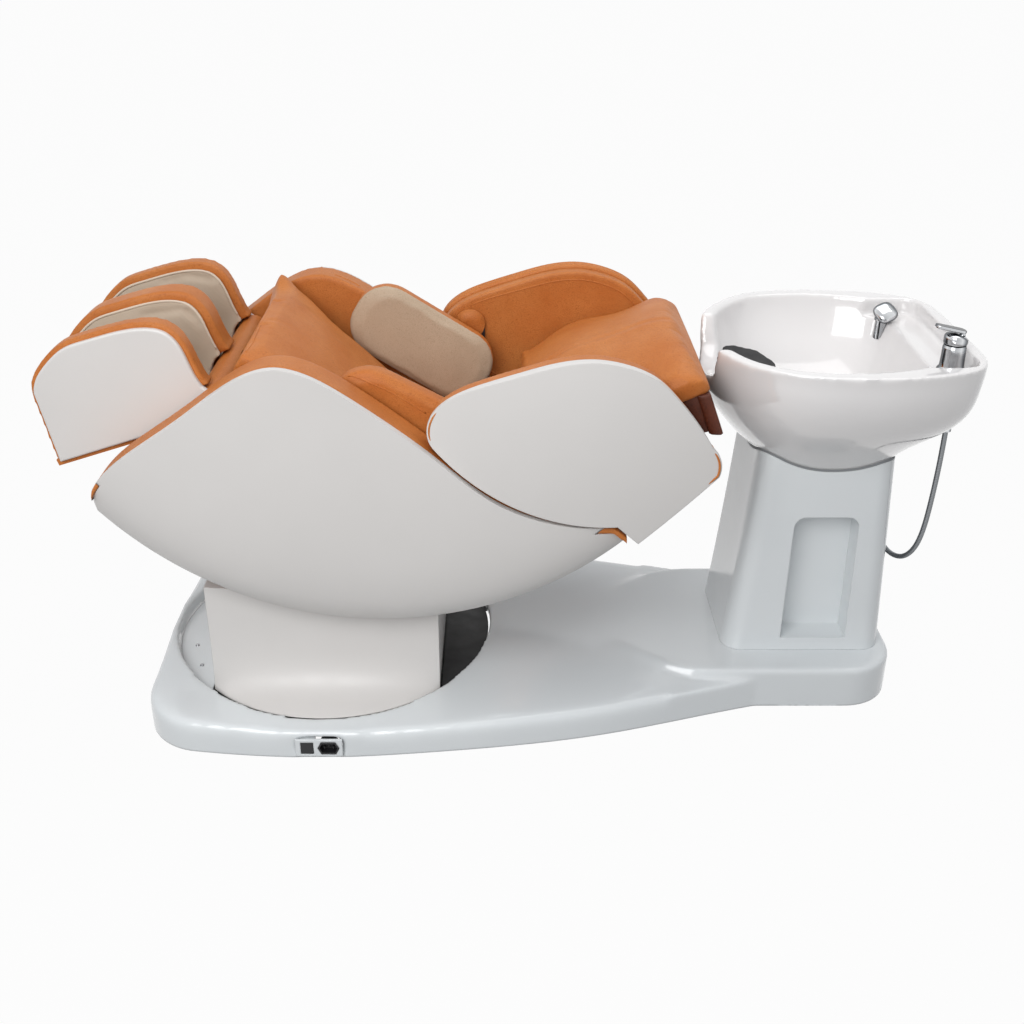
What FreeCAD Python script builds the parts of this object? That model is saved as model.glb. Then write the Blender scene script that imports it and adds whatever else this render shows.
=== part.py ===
import FreeCAD, Part

# Massage shampoo chair: a reclining massage seat on a plinth, joined to a ceramic wash basin on a column.
# Millimetres. +Z is up, +X runs from the feet to the basin, the near side of the chair is -Y.
# The origin lies on the floor, under the middle of the whole chair.
import math
import os
from types import SimpleNamespace

import Sketcher
from FreeCAD import Placement, Rotation, Vector

# The driving sizes, in millimetres and degrees
SIZE_ROWS = (
    # Gaps
    ("part_gap", 0.3),
    ("running_gap", 0.05),
    ("overrun", 6),
    ("outline_step", 14),
    # Plinth and its rear platform
    ("plinth_left_x", -831),
    ("plinth_length", 1428),
    ("plinth_half_width", 434),
    ("plinth_wall", 5),
    ("plinth_rim_z", 85),
    ("plinth_edge_z", 64),
    ("platform_z", 100),
    ("platform_arc_x", 469),
    ("platform_half_width", 242),
    ("platform_right_x", 899),
    ("platform_corner", 118),
    ("platform_edge_round", 9),
    ("recess_x", -436),
    ("recess_radius", 383),
    # Welded base frame and feet
    ("rail_y", 180),
    ("rail_width", 40),
    ("rail_height", 50),
    ("rail_wall", 3),
    ("rail_left_x", -760),
    ("rail_length", 1610),
    ("foot_height", 12),
    ("foot_radius", 26),
    ("foot_top_radius", 16),
    # Recess plate
    ("recess_plate_thickness", 3),
    ("recess_plate_gap", 4),
    ("plate_screw_radius", 5),
    ("plate_screw_head", 3),
    ("plate_screw_y", 84),
    ("plate_screw_pitch", 86),
    ("plate_screw_inset", 50),
    # Pedestal
    ("pedestal_left_x", -686),
    ("pedestal_length", 520),
    ("pedestal_half_width", 250),
    ("pedestal_bow", 12),
    ("pedestal_flare", 114),
    ("pedestal_top_z", 326),
    ("pedestal_wall", 4),
    ("pedestal_mouth_margin", 40),
    ("upright_y", 180),
    ("upright_thickness", 8),
    ("upright_foot", 190),
    ("upright_boss_radius", 32),
    ("upright_tie_radius", 14),
    ("tilt_x", -281),
    ("tilt_z", 356),
    ("tilt_shaft_radius", 15),
    # Power inlet
    ("inlet_x", -424),
    ("inlet_z", 29),
    ("inlet_plate_width", 104),
    ("inlet_plate_height", 45),
    ("inlet_plate_thickness", 5),
    ("inlet_window_width", 96),
    ("inlet_window_height", 38),
    ("rocker_offset", 26),
    ("rocker_side", 28),
    ("rocker_depth", 10),
    ("rocker_gap", 1.2),
    ("rocker_frame_wall", 3),
    ("rocker_pin_radius", 1.5),
    ("rocker_tilt", 7),
    ("socket_offset", 21),
    ("socket_width", 48),
    ("socket_height", 32),
    ("socket_wall", 4),
    ("socket_depth", 22),
    ("socket_blade_width", 6),
    ("socket_blade_thickness", 2),
    ("socket_blade_pitch", 14),
    # Column
    ("column_foot_x", 500),
    ("column_foot_length", 375),
    ("column_head_x", 548),
    ("column_head_length", 302),
    ("column_half_width", 157),
    ("column_head_half_width", 151),
    ("column_corner", 46),
    ("column_wall", 6),
    ("column_head_z", 640),
    ("column_opening_margin", 60),
    ("niche_x", 634),
    ("niche_width", 152),
    ("niche_head_width", 146),
    ("niche_z", 134),
    ("niche_height", 316),
    ("niche_depth", 66),
    ("niche_corner", 26),
    ("niche_wall", 5),
    ("post_x", 610),
    ("post_side", 50),
    ("post_wall", 3),
    ("basin_plate_x", 590),
    ("basin_plate_length", 240),
    ("basin_plate_width", 200),
    ("basin_plate_thickness", 6),
    # Basin
    ("basin_left_x", 407),
    ("basin_length", 584),
    ("basin_half_width", 311),
    ("basin_rim_z", 840),
    ("basin_foot_z", 526),
    ("basin_joint", 3),
    ("bowl_left_x", 440),
    ("bowl_length", 462),
    ("bowl_half_width", 274),
    ("bowl_floor_z", 628),
    ("deck_z", 800),
    ("deck_left_x", 800),
    ("deck_right_x", 964),
    ("deck_half_width", 236),
    ("deck_corner", 40),
    ("notch_z", 748),
    ("notch_half_width", 96),
    ("notch_flare", 26),
    ("notch_length", 150),
    ("drain_x", 742),
    ("drain_radius", 24),
    ("drain_flange_radius", 36),
    ("drain_flange_thickness", 3),
    ("drain_wall", 2.5),
    ("drain_tail", 130),
    ("drain_pipe_radius", 24),
    ("drain_pipe_end_z", 10),
    ("strainer_radius", 29),
    ("strainer_dome", 9),
    ("strainer_stem_radius", 7),
    ("strainer_stem_length", 26),
    ("neck_rest_x", 436),
    ("neck_rest_length", 176),
    ("neck_rest_half_width", 92),
    ("neck_rest_top_z", 774),
    ("neck_rest_fall", 40),
    ("neck_rest_saddle", 14),
    # Mixer, handset and hose
    ("mixer_x", 928),
    ("mixer_y", -148),
    ("mixer_base_radius", 28),
    ("mixer_base_height", 7),
    ("mixer_radius", 22.5),
    ("mixer_height", 58),
    ("mixer_shank_radius", 11),
    ("mixer_shank_length", 96),
    ("mixer_neck_radius", 14),
    ("mixer_neck_height", 9),
    ("mixer_cap_height", 24),
    ("lever_pin_radius", 3),
    ("lever_gap", 1),
    ("lever_width", 26),
    ("lever_thickness", 7),
    ("lever_length", 66),
    ("lever_slope", 12),
    ("lever_pivot_offset", 12),
    ("handset_x", 880),
    ("handset_y", 196),
    ("handset_socket_radius", 19),
    ("handset_socket_height", 10),
    ("handset_bore_radius", 15),
    ("handset_stem_radius", 11),
    ("handset_stem_length", 70),
    ("handset_head_side", 54),
    ("handset_head_depth", 20),
    ("handset_head_tilt", 38),
    ("hose_radius", 6),
    ("hose_bore_radius", 4),
    ("hose_rib_height", 0.8),
    ("hose_rib_count", 110),
    ("union_radius", 11),
    ("union_length", 16),
    ("union_rise", 46),
    # Seat
    ("side_left_x", -867),
    ("side_length", 1121),
    ("side_low_z", 287),
    ("side_height", 593),
    ("side_arc_radius", 780),
    ("side_outer_y", 368),
    ("side_tuck", 52),
    ("side_skin", 6),
    ("side_trim", 16),
    ("side_trim_outer_y", 350),
    ("lining_inner_y", 272),
    ("lining_thickness", 11.7),
    ("lining_inset", 8),
    ("plate_inner_y", 284),
    ("plate_thickness", 5),
    ("plate_inset", 30),
    ("cross_tube_radius", 14),
    ("saddle_half_width", 150),
    ("saddle_drop", 14),
    ("seat_knee_x", -540),
    ("seat_knee_z", 884),
    ("seat_hip_x", -165),
    ("seat_hip_z", 594),
    ("seat_rear_x", -72),
    ("seat_rear_z", 622),
    ("seat_half_width", 262),
    ("seat_hip_half_width", 198),
    ("seat_cushion_thickness", 62),
    ("seat_cushion_crown", 16),
    ("seat_cushion_draw", 8),
    ("seat_pan_thickness", 5),
    ("seat_pan_half_width", 180),
    ("arm_x", -216),
    ("arm_z", 733),
    ("arm_length", 362),
    ("arm_height", 182),
    ("arm_corner", 80),
    ("arm_slope", 32),
    ("arm_inner_y", 205),
    ("arm_thickness", 46),
    ("arm_edge_round", 12),
    ("arm_bracket_radius", 9),
    ("arm_bracket_pitch", 190),
    ("control_box_x", -236),
    ("control_box_y", 64),
    ("control_box_length", 150),
    ("control_box_width", 150),
    ("control_box_height", 70),
    # Back
    ("back_pivot_x", -101),
    ("back_pivot_z", 760),
    ("back_pin_radius", 10),
    ("back_ear_radius", 36),
    ("back_slope", 20.4),
    ("back_x", 22),
    ("back_z", 700),
    ("wing_gap", 8),
    ("wing_right_x", 424),
    ("wing_top_z", 891),
    ("wing_tail_z", 492),
    ("wing_outer_y", 374),
    ("wing_crown_radius", 1500),
    ("wing_wall", 5),
    ("wing_inner_y", 336),
    ("wing_lining_inner_y", 294),
    ("wing_lining_inset", 4),
    ("back_plate_inner_y", 332),
    ("back_plate_thickness", 4),
    ("back_plate_inset", 16),
    ("back_bar_side", 28),
    ("back_bar_w", -59),
    ("back_bar_low_u", 17),
    ("back_bar_span", 283),
    ("back_shell_wall", 4),
    ("back_shell_inset", 6),
    ("back_shell_left_x", 46),
    ("back_shell_reach", 504),
    ("back_pad_half_width", 278),
    ("back_pad_length", 392),
    ("back_pad_bottom_w", -45),
    ("back_pad_edge_w", -4),
    ("back_pad_crown", 46),
    ("back_pad_draw", 8),
    ("flap_u", 377),
    ("flap_drop", 95),
    ("flap_thickness", 12),
    ("flap_inner_y", 168),
    ("flap_width", 104),
    # Massage carriage
    ("rail_rod_radius", 6),
    ("rail_rod_y", 155),
    ("carriage_u", 112),
    ("carriage_length", 150),
    ("carriage_floor_w", -138),
    ("carriage_floor", 8),
    ("carriage_cheek_width", 34),
    ("roller_radius", 33),
    ("roller_width", 38),
    ("roller_y", 80),
    ("roller_round", 12),
    ("roller_axle_radius", 7),
    ("roller_pitch", 90),
    ("roller_w", -84),
    # Leg rest
    ("leg_pivot_x", -622),
    ("leg_pivot_z", 762),
    ("leg_pin_radius", 10),
    ("leg_end_radius", 34),
    ("leg_left_x", -990),
    ("leg_toe_x", -958),
    ("leg_toe_z", 622),
    ("leg_top_z", 936),
    ("leg_half_width", 257),
    ("leg_panel_thickness", 12),
    ("leg_panel_bulge", 10),
    ("leg_wall_thickness", 40),
    ("leg_mid_half_width", 34),
    ("leg_floor", 14),
    ("trough_lining", 11),
    ("trough_rim_inset", 17),
    # Actuators
    ("actuator_radius", 26),
    ("actuator_nose_radius", 17),
    ("actuator_rod_radius", 9),
    ("actuator_eye_wall", 7),
    ("actuator_eye_half_width", 14),
    ("drive_pin_radius", 6),
    ("drive_pin_gap", 1.5),
    ("drive_eye_wall", 5),
    ("drive_eye_half_width", 9),
    ("drive_ear_thickness", 6),
    ("drive_ear_gap", 2),
    ("recline_range", 45),
    ("back_drive_dx", 120),
    ("back_drive_dz", -130),
    ("back_actuator_length", 284),
    ("leg_range", 48),
    ("leg_drive_arm", 80),
    ("leg_drive_angle", 210),
    ("leg_actuator_length", 420),
    ("tilt_range", 12),
    ("tilt_drive_dx", -150),
    ("tilt_drive_dz", -62),
    ("tilt_actuator_length", 190),
)

# Outlines and places as shares, chosen by eye, of the sizes they follow
PLINTH_SIDE_SHARES = ((0.078, 0.945), (0.175, 0.984), (0.292, 1.0), (0.438, 0.965), (0.563, 0.914),
                      (0.722, 0.815), (0.888, 0.65), (1.0, 0.54))
PLINTH_END_SHARES = ((0.0, 0.60), (0.022, 0.82))
PLINTH_CROWN_SHARES = ((-0.06, 0.97, 1.0), (0.28, 1.0, 1.0), (0.56, 1.04, 0.98), (0.72, 1.15, 0.86),
                       (0.888, 1.17, 0.5), (1.04, 1.17, 0.19))
PEDESTAL_LEVEL_SHARES = ((0.0, 1.0), (0.045, 0.67), (0.09, 0.43), (0.15, 0.26), (0.22, 0.15), (0.33, 0.065),
                         (0.5, 0.015), (0.75, 0.0), (1.0, 0.0))
SIDE_TOP_SHARES = ((0.002, 0.540), (0.029, 0.608), (0.111, 0.730), (0.187, 0.828), (0.264, 0.934),
                   (0.312, 0.982), (0.354, 1.0), (0.405, 0.981), (0.472, 0.911), (0.539, 0.821),
                   (0.625, 0.693), (0.750, 0.504), (0.823, 0.444), (0.897, 0.412), (0.962, 0.406))
SIDE_TAIL_SHARE = (0.994, 0.352)
SIDE_PROFILE_SHARES = ((1.0, 1.0), (0.955, 0.55), (0.88, 0.22), (0.76, 0.05), (0.55, 0.0), (0.2, 0.0))
WING_NOSE_SHARES = ((-0.137, 0.627), (-0.120, 0.707), (-0.063, 0.787))
WING_TOP_SHARES = ((0.069, 0.870), (0.217, 0.932), (0.364, 0.985), (0.510, 1.0), (0.621, 0.972),
                   (0.735, 0.902), (0.813, 0.802), (0.897, 0.664), (0.960, 0.534))
WING_CORNER_SHARES = ((1.0, 0.425), (0.993, 0.372))
WING_TAIL_SHARE = 0.69
BASIN_OUTLINE_SHARES = ((0.0, 0.0), (0.018, 0.22), (0.055, 0.44), (0.11, 0.64), (0.18, 0.80), (0.28, 0.925),
                        (0.42, 0.99), (0.53, 1.0), (0.66, 0.985), (0.78, 0.94), (0.88, 0.87),
                        (0.95, 0.775), (0.988, 0.62), (1.0, 0.34), (1.0, 0.0))
BASIN_LEVEL_SHARES = ((1.0, 0.0, 1.0, 1.0), (0.86, 0.006, 0.997, 0.985), (0.68, 0.024, 0.985, 0.94),
                      (0.52, 0.06, 0.94, 0.845), (0.39, 0.11, 0.86, 0.735), (0.25, 0.18, 0.785, 0.60),
                      (0.11, 0.285, 0.735, 0.46), (0.0, 0.40, 0.71, 0.33))
BOWL_LEVEL_SHARES = ((1.1, 0.0, 1.0, 1.0), (0.93, 0.008, 0.996, 0.985), (0.62, 0.05, 0.965, 0.90),
                     (0.30, 0.15, 0.90, 0.71), (0.10, 0.28, 0.83, 0.50), (0.0, 0.42, 0.77, 0.30))
SEAT_STATION_SHARES = ((0.0, 0.0, 0.98), (0.09, 0.075, 0.975), (0.19, 0.165, 0.93), (0.30, 0.275, 0.80),
                       (0.38, 0.365, 0.757), (0.56, 0.58, 0.755), (0.80, 0.89, 0.75), (1.0, 1.0, 0.75))
BACK_STATION_SHARES = ((0.0, 0.35, 0.93), (0.22, 0.85, 0.99), (0.55, 1.0, 1.0), (0.82, 0.95, 1.0),
                       (0.95, 0.5, 0.985), (1.0, -0.25, 0.96))
LEG_TOP_SHARES = ((0.0, 0.53), (0.028, 0.64), (0.095, 0.745), (0.22, 0.865), (0.34, 0.915), (0.565, 0.985),
                  (0.70, 1.0), (0.80, 0.975), (0.875, 0.895), (0.935, 0.73), (0.985, 0.60))
CROSS_TUBE_SHARES = (0.12, 0.93)
BRACE_SHARES = (0.03, 0.40, 0.853, 0.985)
FOOT_SHARES = (0.03, 0.47, 0.97)

# The mixer hose, from under the basin to the rear of the column
HOSE_ROUTE = ((951.0, -122.0, 650.0), (951.0, -122.0, 610.0), (950.7, -121.4, 570.0), (950.0, -120.2, 530.0),
              (949.0, -118.3, 490.1), (947.7, -115.8, 450.2), (945.9, -112.3, 412.4), (942.9, -106.8, 376.9),
              (938.3, -98.1, 346.5), (931.7, -85.7, 322.3), (923.2, -69.9, 304.9), (913.2, -51.0, 296.3),
              (902.4, -30.7, 296.3), (892.5, -12.2, 305.6), (885.3, 1.4, 322.7), (881.4, 8.6, 345.3))

doc = FreeCAD.newDocument("massage_shampoo_chair")
sheet = doc.addObject("Spreadsheet::Sheet", "sizes")
for row, (alias, number) in enumerate(SIZE_ROWS, start=1):
    sheet.set("A%d" % row, alias.replace("_", " "))
    sheet.set("B%d" % row, str(number))
    sheet.setAlias("B%d" % row, alias)
doc.recompute()


class Size:
    """A size of the sheet, or a sum worked out from sizes: its value, and the text that binds it."""

    def __init__(self, value, text):
        self.value = value
        self.text = text

    def __add__(self, other):
        other = as_size(other)
        return Size(self.value + other.value, "(%s + %s)" % (self.text, other.text))

    def __sub__(self, other):
        other = as_size(other)
        return Size(self.value - other.value, "(%s - %s)" % (self.text, other.text))

    def __mul__(self, other):
        other = as_size(other)
        return Size(self.value * other.value, "(%s * %s)" % (self.text, other.text))

    def __truediv__(self, other):
        other = as_size(other)
        return Size(self.value / other.value, "(%s / %s)" % (self.text, other.text))

    def __neg__(self):
        return Size(-self.value, "(-%s)" % self.text)


def as_size(value):
    return value if isinstance(value, Size) else Size(float(value), "(%r)" % float(value))


size = SimpleNamespace(**{alias: Size(float(sheet.get(alias)), "sizes." + alias) for alias, _ in SIZE_ROWS})
mm = SimpleNamespace(**{alias: float(sheet.get(alias)) for alias, _ in SIZE_ROWS})

X = Vector(1, 0, 0)
Y = Vector(0, 1, 0)
Z = Vector(0, 0, 1)
ALONG = {"x": Rotation(Y, 90), "y": Rotation(X, -90), "z": Rotation()}


# Bound objects

def bind(thing, prop, value):
    thing.setExpression(prop, as_size(value).text)


def place(thing, at, rotation=Rotation()):
    thing.Placement = Placement(Vector(), rotation)
    for axis, value in zip("xyz", at):
        bind(thing, "Placement.Base." + axis, value)
    return thing


def box(label, at, sides):
    thing = doc.addObject("Part::Box", label)
    for prop, value in zip(("Length", "Width", "Height"), sides):
        bind(thing, prop, value)
    return place(thing, at)


def cylinder(label, at, radius, length, along="z"):
    thing = doc.addObject("Part::Cylinder", label)
    bind(thing, "Radius", radius)
    bind(thing, "Height", length)
    return place(thing, at, ALONG[along])


def cone(label, at, low_radius, high_radius, height):
    thing = doc.addObject("Part::Cone", label)
    bind(thing, "Radius1", low_radius)
    bind(thing, "Radius2", high_radius)
    bind(thing, "Height", height)
    return place(thing, at)


def fuse(label, *things):
    thing = doc.addObject("Part::MultiFuse", label)
    thing.Shapes = list(things)
    return thing


def group(label, *things):
    thing = doc.addObject("Part::Compound", label)
    thing.Links = list(things)
    return thing


def cut(label, base, tool):
    thing = doc.addObject("Part::Cut", label)
    thing.Base = base
    thing.Tool = tool
    return thing


def free_form(label, shape):
    thing = doc.addObject("Part::Feature", label)
    thing.Shape = shape
    return thing


def tube(label, at, sides, wall, along):
    """A square tube with its long side along x or y, open at both ends."""
    bore_at = [place_value + wall for place_value in at]
    bore_sides = [side - wall * 2 for side in sides]
    index = "xyz".index(along)
    bore_at[index] = at[index] - size.overrun
    bore_sides[index] = sides[index] + size.overrun * 2
    return cut(label, box(label + "_outside", at, sides), box(label + "_bore", bore_at, bore_sides))


def new_sketch(body, role, name, lift=0):
    sketch = body.newObject("Sketcher::SketchObject", name)
    planes = [feature for feature in body.Origin.OriginFeatures if feature.Role == role]
    sketch.AttachmentSupport = (planes[0], [""])
    sketch.MapMode = "FlatFace"
    bind(sketch, "AttachmentOffset.Base.z", lift)
    return sketch


def pin_point(sketch, geometry, end, corner):
    for kind, value in zip(("DistanceX", "DistanceY"), corner):
        value = as_size(value)
        number = sketch.addConstraint(Sketcher.Constraint(kind, -1, 1, geometry, end, value.value))
        sketch.setExpression("Constraints[%d]" % number, value.text)


def polygon(sketch, corners):
    first = sketch.GeometryCount
    spots = [Vector(as_size(a).value, as_size(b).value, 0) for a, b in corners]
    count = len(spots)
    for index in range(count):
        sketch.addGeometry(Part.LineSegment(spots[index], spots[(index + 1) % count]), False)
    for index in range(count):
        following = first + (index + 1) % count
        sketch.addConstraint(Sketcher.Constraint("Coincident", first + index, 2, following, 1))
    for index, corner in enumerate(corners):
        pin_point(sketch, first + index, 1, corner)


def pad(body, sketch, length, name):
    feature = body.newObject("PartDesign::Pad", name)
    feature.Profile = sketch
    bind(feature, "Length", length)


def turned(label, corners):
    """A body of revolution about its own Z axis, from its half outline as (radius, height) corners."""
    body = doc.addObject("PartDesign::Body", label)
    sketch = new_sketch(body, "XZ_Plane", label + "_outline")
    polygon(sketch, corners)
    feature = body.newObject("PartDesign::Revolution", label + "_turned")
    feature.Profile = sketch
    feature.ReferenceAxis = (sketch, ["V_Axis"])
    feature.Angle = 360
    return body


# Plain curves and solids

def line(start, end):
    return Part.LineSegment(start, end).toShape()


def arc(start, middle, end):
    return Part.Arc(start, middle, end).toShape()


def spline(points, closed=False):
    curve = Part.BSplineCurve()
    curve.interpolate(points, PeriodicFlag=closed)
    return curve.toShape()


def at_xz(x, z, y=0.0):
    return Vector(x, y, z)


def prism_y(wire, low_y, high_y):
    face = Part.Face(wire)
    face.translate(Vector(0, low_y, 0))
    return face.extrude(Vector(0, high_y - low_y, 0))


def prism_z(wire, low_z, high_z):
    face = Part.Face(wire)
    face.translate(Vector(0, 0, low_z))
    return face.extrude(Vector(0, 0, high_z - low_z))


def outline_spots(wire):
    """Points around a closed outline, in order, with all of its corners."""
    spots = []
    for edge in wire.OrderedEdges:
        steps = 4 + int(edge.Length / mm.outline_step)
        points = edge.discretize(Number=steps)
        if edge.Orientation == "Reversed":
            points.reverse()
        spots += points[:-1]
    return spots


def inset(wire, distance):
    """A closed outline drawn inside another one at an even distance, with the same corners."""
    spots = outline_spots(wire)
    count = len(spots)
    middle = Part.Face(wire)
    normal = middle.normalAt(0, 0)
    ahead = [(spots[(index + 1) % count] - spots[index]).normalize() for index in range(count)]
    inward = [normal.cross(step) for step in ahead]
    probe = (spots[0] + spots[1]) * 0.5 + inward[0] * mm.part_gap
    if not middle.isInside(probe, mm.part_gap / 10, True):
        inward = [-step for step in inward]
    moved = []
    for index in range(count):
        before, after = inward[index - 1], inward[index]
        moved.append(spots[index] + (before + after) * (distance / (1 + before.dot(after))))
    kept = []
    for spot in moved:
        nearest = min(gap_to_run(spot, spots[index - 1], spots[index]) for index in range(count))
        if nearest > distance * 0.97:
            kept.append(spot)
    return smooth_outline(kept)


def gap_to_run(spot, start, end):
    """The distance from a point to a straight run."""
    run = end - start
    share = max(0.0, min(1.0, (spot - start).dot(run) / run.dot(run)))
    return (spot - start - run * share).Length


def smooth_outline(spots):
    """A closed outline through points: straight or curved runs between its sharp corners."""
    count = len(spots)
    sharp = []
    for index in range(count):
        into = spots[index] - spots[index - 1]
        out = spots[(index + 1) % count] - spots[index]
        if into.getAngle(out) > math.radians(20):
            sharp.append(index)
    edges = []
    for first, last in zip(sharp, sharp[1:] + [sharp[0] + count]):
        run = [spots[index % count] for index in range(first, last + 1)]
        edges.append(line(run[0], run[1]) if len(run) == 2 else spline(run))
    return Part.Wire(edges)


def flipped(shape):
    return shape.mirror(Vector(), Y)


def turned_about_y(spot, pivot, degrees):
    """Where a point of the XZ plane goes when its body turns by this angle, head end up."""
    angle = math.radians(degrees)
    dx = spot.x - pivot.x
    dz = spot.z - pivot.z
    return Vector(pivot.x + dx * math.cos(angle) - dz * math.sin(angle), spot.y,
                  pivot.z + dx * math.sin(angle) + dz * math.cos(angle))


# Places that several pieces share

TILT_PIVOT = at_xz(mm.tilt_x, mm.tilt_z)
BACK_PIVOT = at_xz(mm.back_pivot_x, mm.back_pivot_z)
LEG_PIVOT = at_xz(mm.leg_pivot_x, mm.leg_pivot_z)
BACK_FRAME = Placement(at_xz(mm.back_x, mm.back_z), Rotation(Vector(0, -1, 0), mm.back_slope))


def in_back_frame(thing):
    """Lay an object, made along u, y and w, on the slope of the back."""
    thing.Placement = Placement(Vector(), Rotation(Vector(0, -1, 0), 1))
    bind(thing, "Placement.Base.x", size.back_x)
    bind(thing, "Placement.Base.z", size.back_z)
    bind(thing, "Placement.Rotation.Angle", size.back_slope)
    return thing


# Base

def plinth_outline():
    left = mm.plinth_left_x

    def spot(share, sign):
        return Vector(left + share[0] * mm.plinth_length, sign * share[1] * mm.plinth_half_width, 0)

    near_side = [spot(share, -1) for share in PLINTH_SIDE_SHARES]
    far_side = [spot(share, 1) for share in reversed(PLINTH_SIDE_SHARES)]
    near_end = [spot(share, -1) for share in PLINTH_END_SHARES]
    far_end = [spot(share, 1) for share in PLINTH_END_SHARES]
    return Part.Wire([line(far_end[0], near_end[0]), arc(near_end[0], near_end[1], near_side[0]),
                      spline(near_side), line(near_side[-1], far_side[0]), spline(far_side),
                      arc(far_side[-1], far_end[1], far_end[0])])


def plinth_roof(lowered):
    """A crowned block whose top is the plinth's top: high along the middle, falling to the edges."""
    sections = []
    for along, crown_share, edge_share in PLINTH_CROWN_SHARES:
        x = mm.plinth_left_x + along * mm.plinth_length
        wide = mm.plinth_half_width * (1.0 + mm.overrun / mm.plinth_half_width)
        crown = mm.plinth_rim_z * crown_share - lowered
        edge = mm.plinth_edge_z * edge_share - lowered
        low = -mm.plinth_half_width / 2
        corners = [Vector(x, -wide, low), Vector(x, -wide, edge), Vector(x, 0, crown),
                   Vector(x, wide, edge), Vector(x, wide, low)]
        sections.append(Part.Wire([line(corners[0], corners[1]), arc(corners[1], corners[2], corners[3]),
                                   line(corners[3], corners[4]), line(corners[4], corners[0])]))
    return Part.makeLoft(sections, True, False)


def platform_outline(wall=0.0):
    half = mm.platform_half_width - wall
    right = mm.platform_right_x - wall
    corner = mm.platform_corner - wall
    bend = corner * (1 - math.sqrt(0.5))
    return Part.Wire([
        arc(Vector(mm.platform_arc_x, half, 0), Vector(mm.platform_arc_x - half, 0, 0),
            Vector(mm.platform_arc_x, -half, 0)),
        line(Vector(mm.platform_arc_x, -half, 0), Vector(right - corner, -half, 0)),
        arc(Vector(right - corner, -half, 0), Vector(right - bend, -half + bend, 0),
            Vector(right, -half + corner, 0)),
        line(Vector(right, -half + corner, 0), Vector(right, half - corner, 0)),
        arc(Vector(right, half - corner, 0), Vector(right - bend, half - bend, 0),
            Vector(right - corner, half, 0)),
        line(Vector(right - corner, half, 0), Vector(mm.platform_arc_x, half, 0))])


def top_edges(shape, low_z):
    """Edges of the upper rim: all of their length lies above low_z and beside a steep wall."""
    edges = []
    for edge in shape.Edges:
        faces = shape.ancestorsOfType(edge, Part.Face)
        walls = [face for face in faces if face.BoundBox.ZMin < mm.plinth_wall / 10]
        if edge.BoundBox.ZMin > low_z and len(walls) == 1:
            edges.append(edge)
    return edges


def base_plinth():
    wall = mm.plinth_wall
    tall = mm.platform_z + mm.overrun
    body = prism_z(plinth_outline(), 0, tall).common(plinth_roof(0))
    platform = prism_z(platform_outline(), 0, mm.platform_z)
    platform = platform.makeFillet(mm.platform_edge_round, top_edges(platform, mm.platform_z - wall))
    hollow = prism_z(inset(plinth_outline(), wall), -mm.overrun, tall).common(plinth_roof(wall))
    platform_hollow = prism_z(platform_outline(wall), -mm.overrun, mm.platform_z - wall)
    skirt_z = mm.foot_height + mm.rail_height
    skirt = Part.makeCylinder(mm.recess_radius + wall, tall, Vector(mm.recess_x, 0, skirt_z))
    recess = Part.makeCylinder(mm.recess_radius, tall * 2, Vector(mm.recess_x, 0, -mm.overrun))
    margin = mm.column_opening_margin
    opening = Part.makeBox(mm.column_foot_length - margin * 2, (mm.column_half_width - margin) * 2, tall,
                           Vector(mm.column_foot_x + margin, margin - mm.column_half_width, mm.overrun))
    window = Part.makeBox(mm.inlet_window_width, wall * 4, mm.inlet_window_height,
                          Vector(mm.inlet_x - mm.inlet_window_width / 2, -mm.plinth_half_width - wall,
                                 mm.inlet_z - mm.inlet_window_height / 2))
    shell = body.fuse(platform).cut(hollow.cut(skirt)).cut(platform_hollow)
    return free_form("base_plinth", shell.cut(recess).cut(opening).cut(window))


def base_frame():
    pieces = []
    for side, sign in (("near", -1), ("far", 1)):
        corner = (size.rail_left_x, size.rail_y * sign - size.rail_width / 2, size.foot_height)
        sides = (size.rail_length, size.rail_width, size.rail_height)
        pieces.append(tube("rail_" + side, corner, sides, size.rail_wall, "x"))
    span = size.rail_y * 2 - size.rail_width
    for index, share in enumerate(BRACE_SHARES):
        corner = (size.rail_left_x + size.rail_length * share - size.rail_width / 2, -span / 2, size.foot_height)
        sides = (size.rail_width, span, size.rail_height)
        pieces.append(tube("brace_%d" % index, corner, sides, size.rail_wall, "y"))
    pieces.append(recess_tray())
    return group("base_frame", *pieces)


def recess_tray():
    """The dark sheet on the rails that closes the recess on the basin side of the pedestal."""
    low = size.foot_height + size.rail_height
    radius = size.recess_radius - size.recess_plate_gap
    disc = cylinder("recess_tray_disc", (size.recess_x, 0, low), radius, size.recess_plate_thickness)
    left = size.recess_x - size.recess_radius
    edge = size.pedestal_left_x + size.pedestal_length + size.recess_plate_gap
    away = box("recess_tray_edge", (left, -size.recess_radius, low - size.overrun),
               (edge - left, size.recess_radius * 2, size.overrun * 3))
    return cut("recess_tray", disc, away)


def levelling_feet():
    feet = []
    for sign in (-1, 1):
        for share in FOOT_SHARES:
            spot = (size.rail_left_x + size.rail_length * share, size.rail_y * sign, 0)
            feet.append(cone("foot_%d" % len(feet), spot, size.foot_radius, size.foot_top_radius,
                             size.foot_height))
    return group("levelling_feet", *feet)


def plate_screw_spots():
    x = size.pedestal_left_x - size.plate_screw_inset
    spots = []
    for sign in (-1, 1):
        spots.append((x - size.plate_screw_head * 10, size.plate_screw_y * sign))
        spots.append((x, (size.plate_screw_y + size.plate_screw_pitch) * sign))
    return spots


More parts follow.
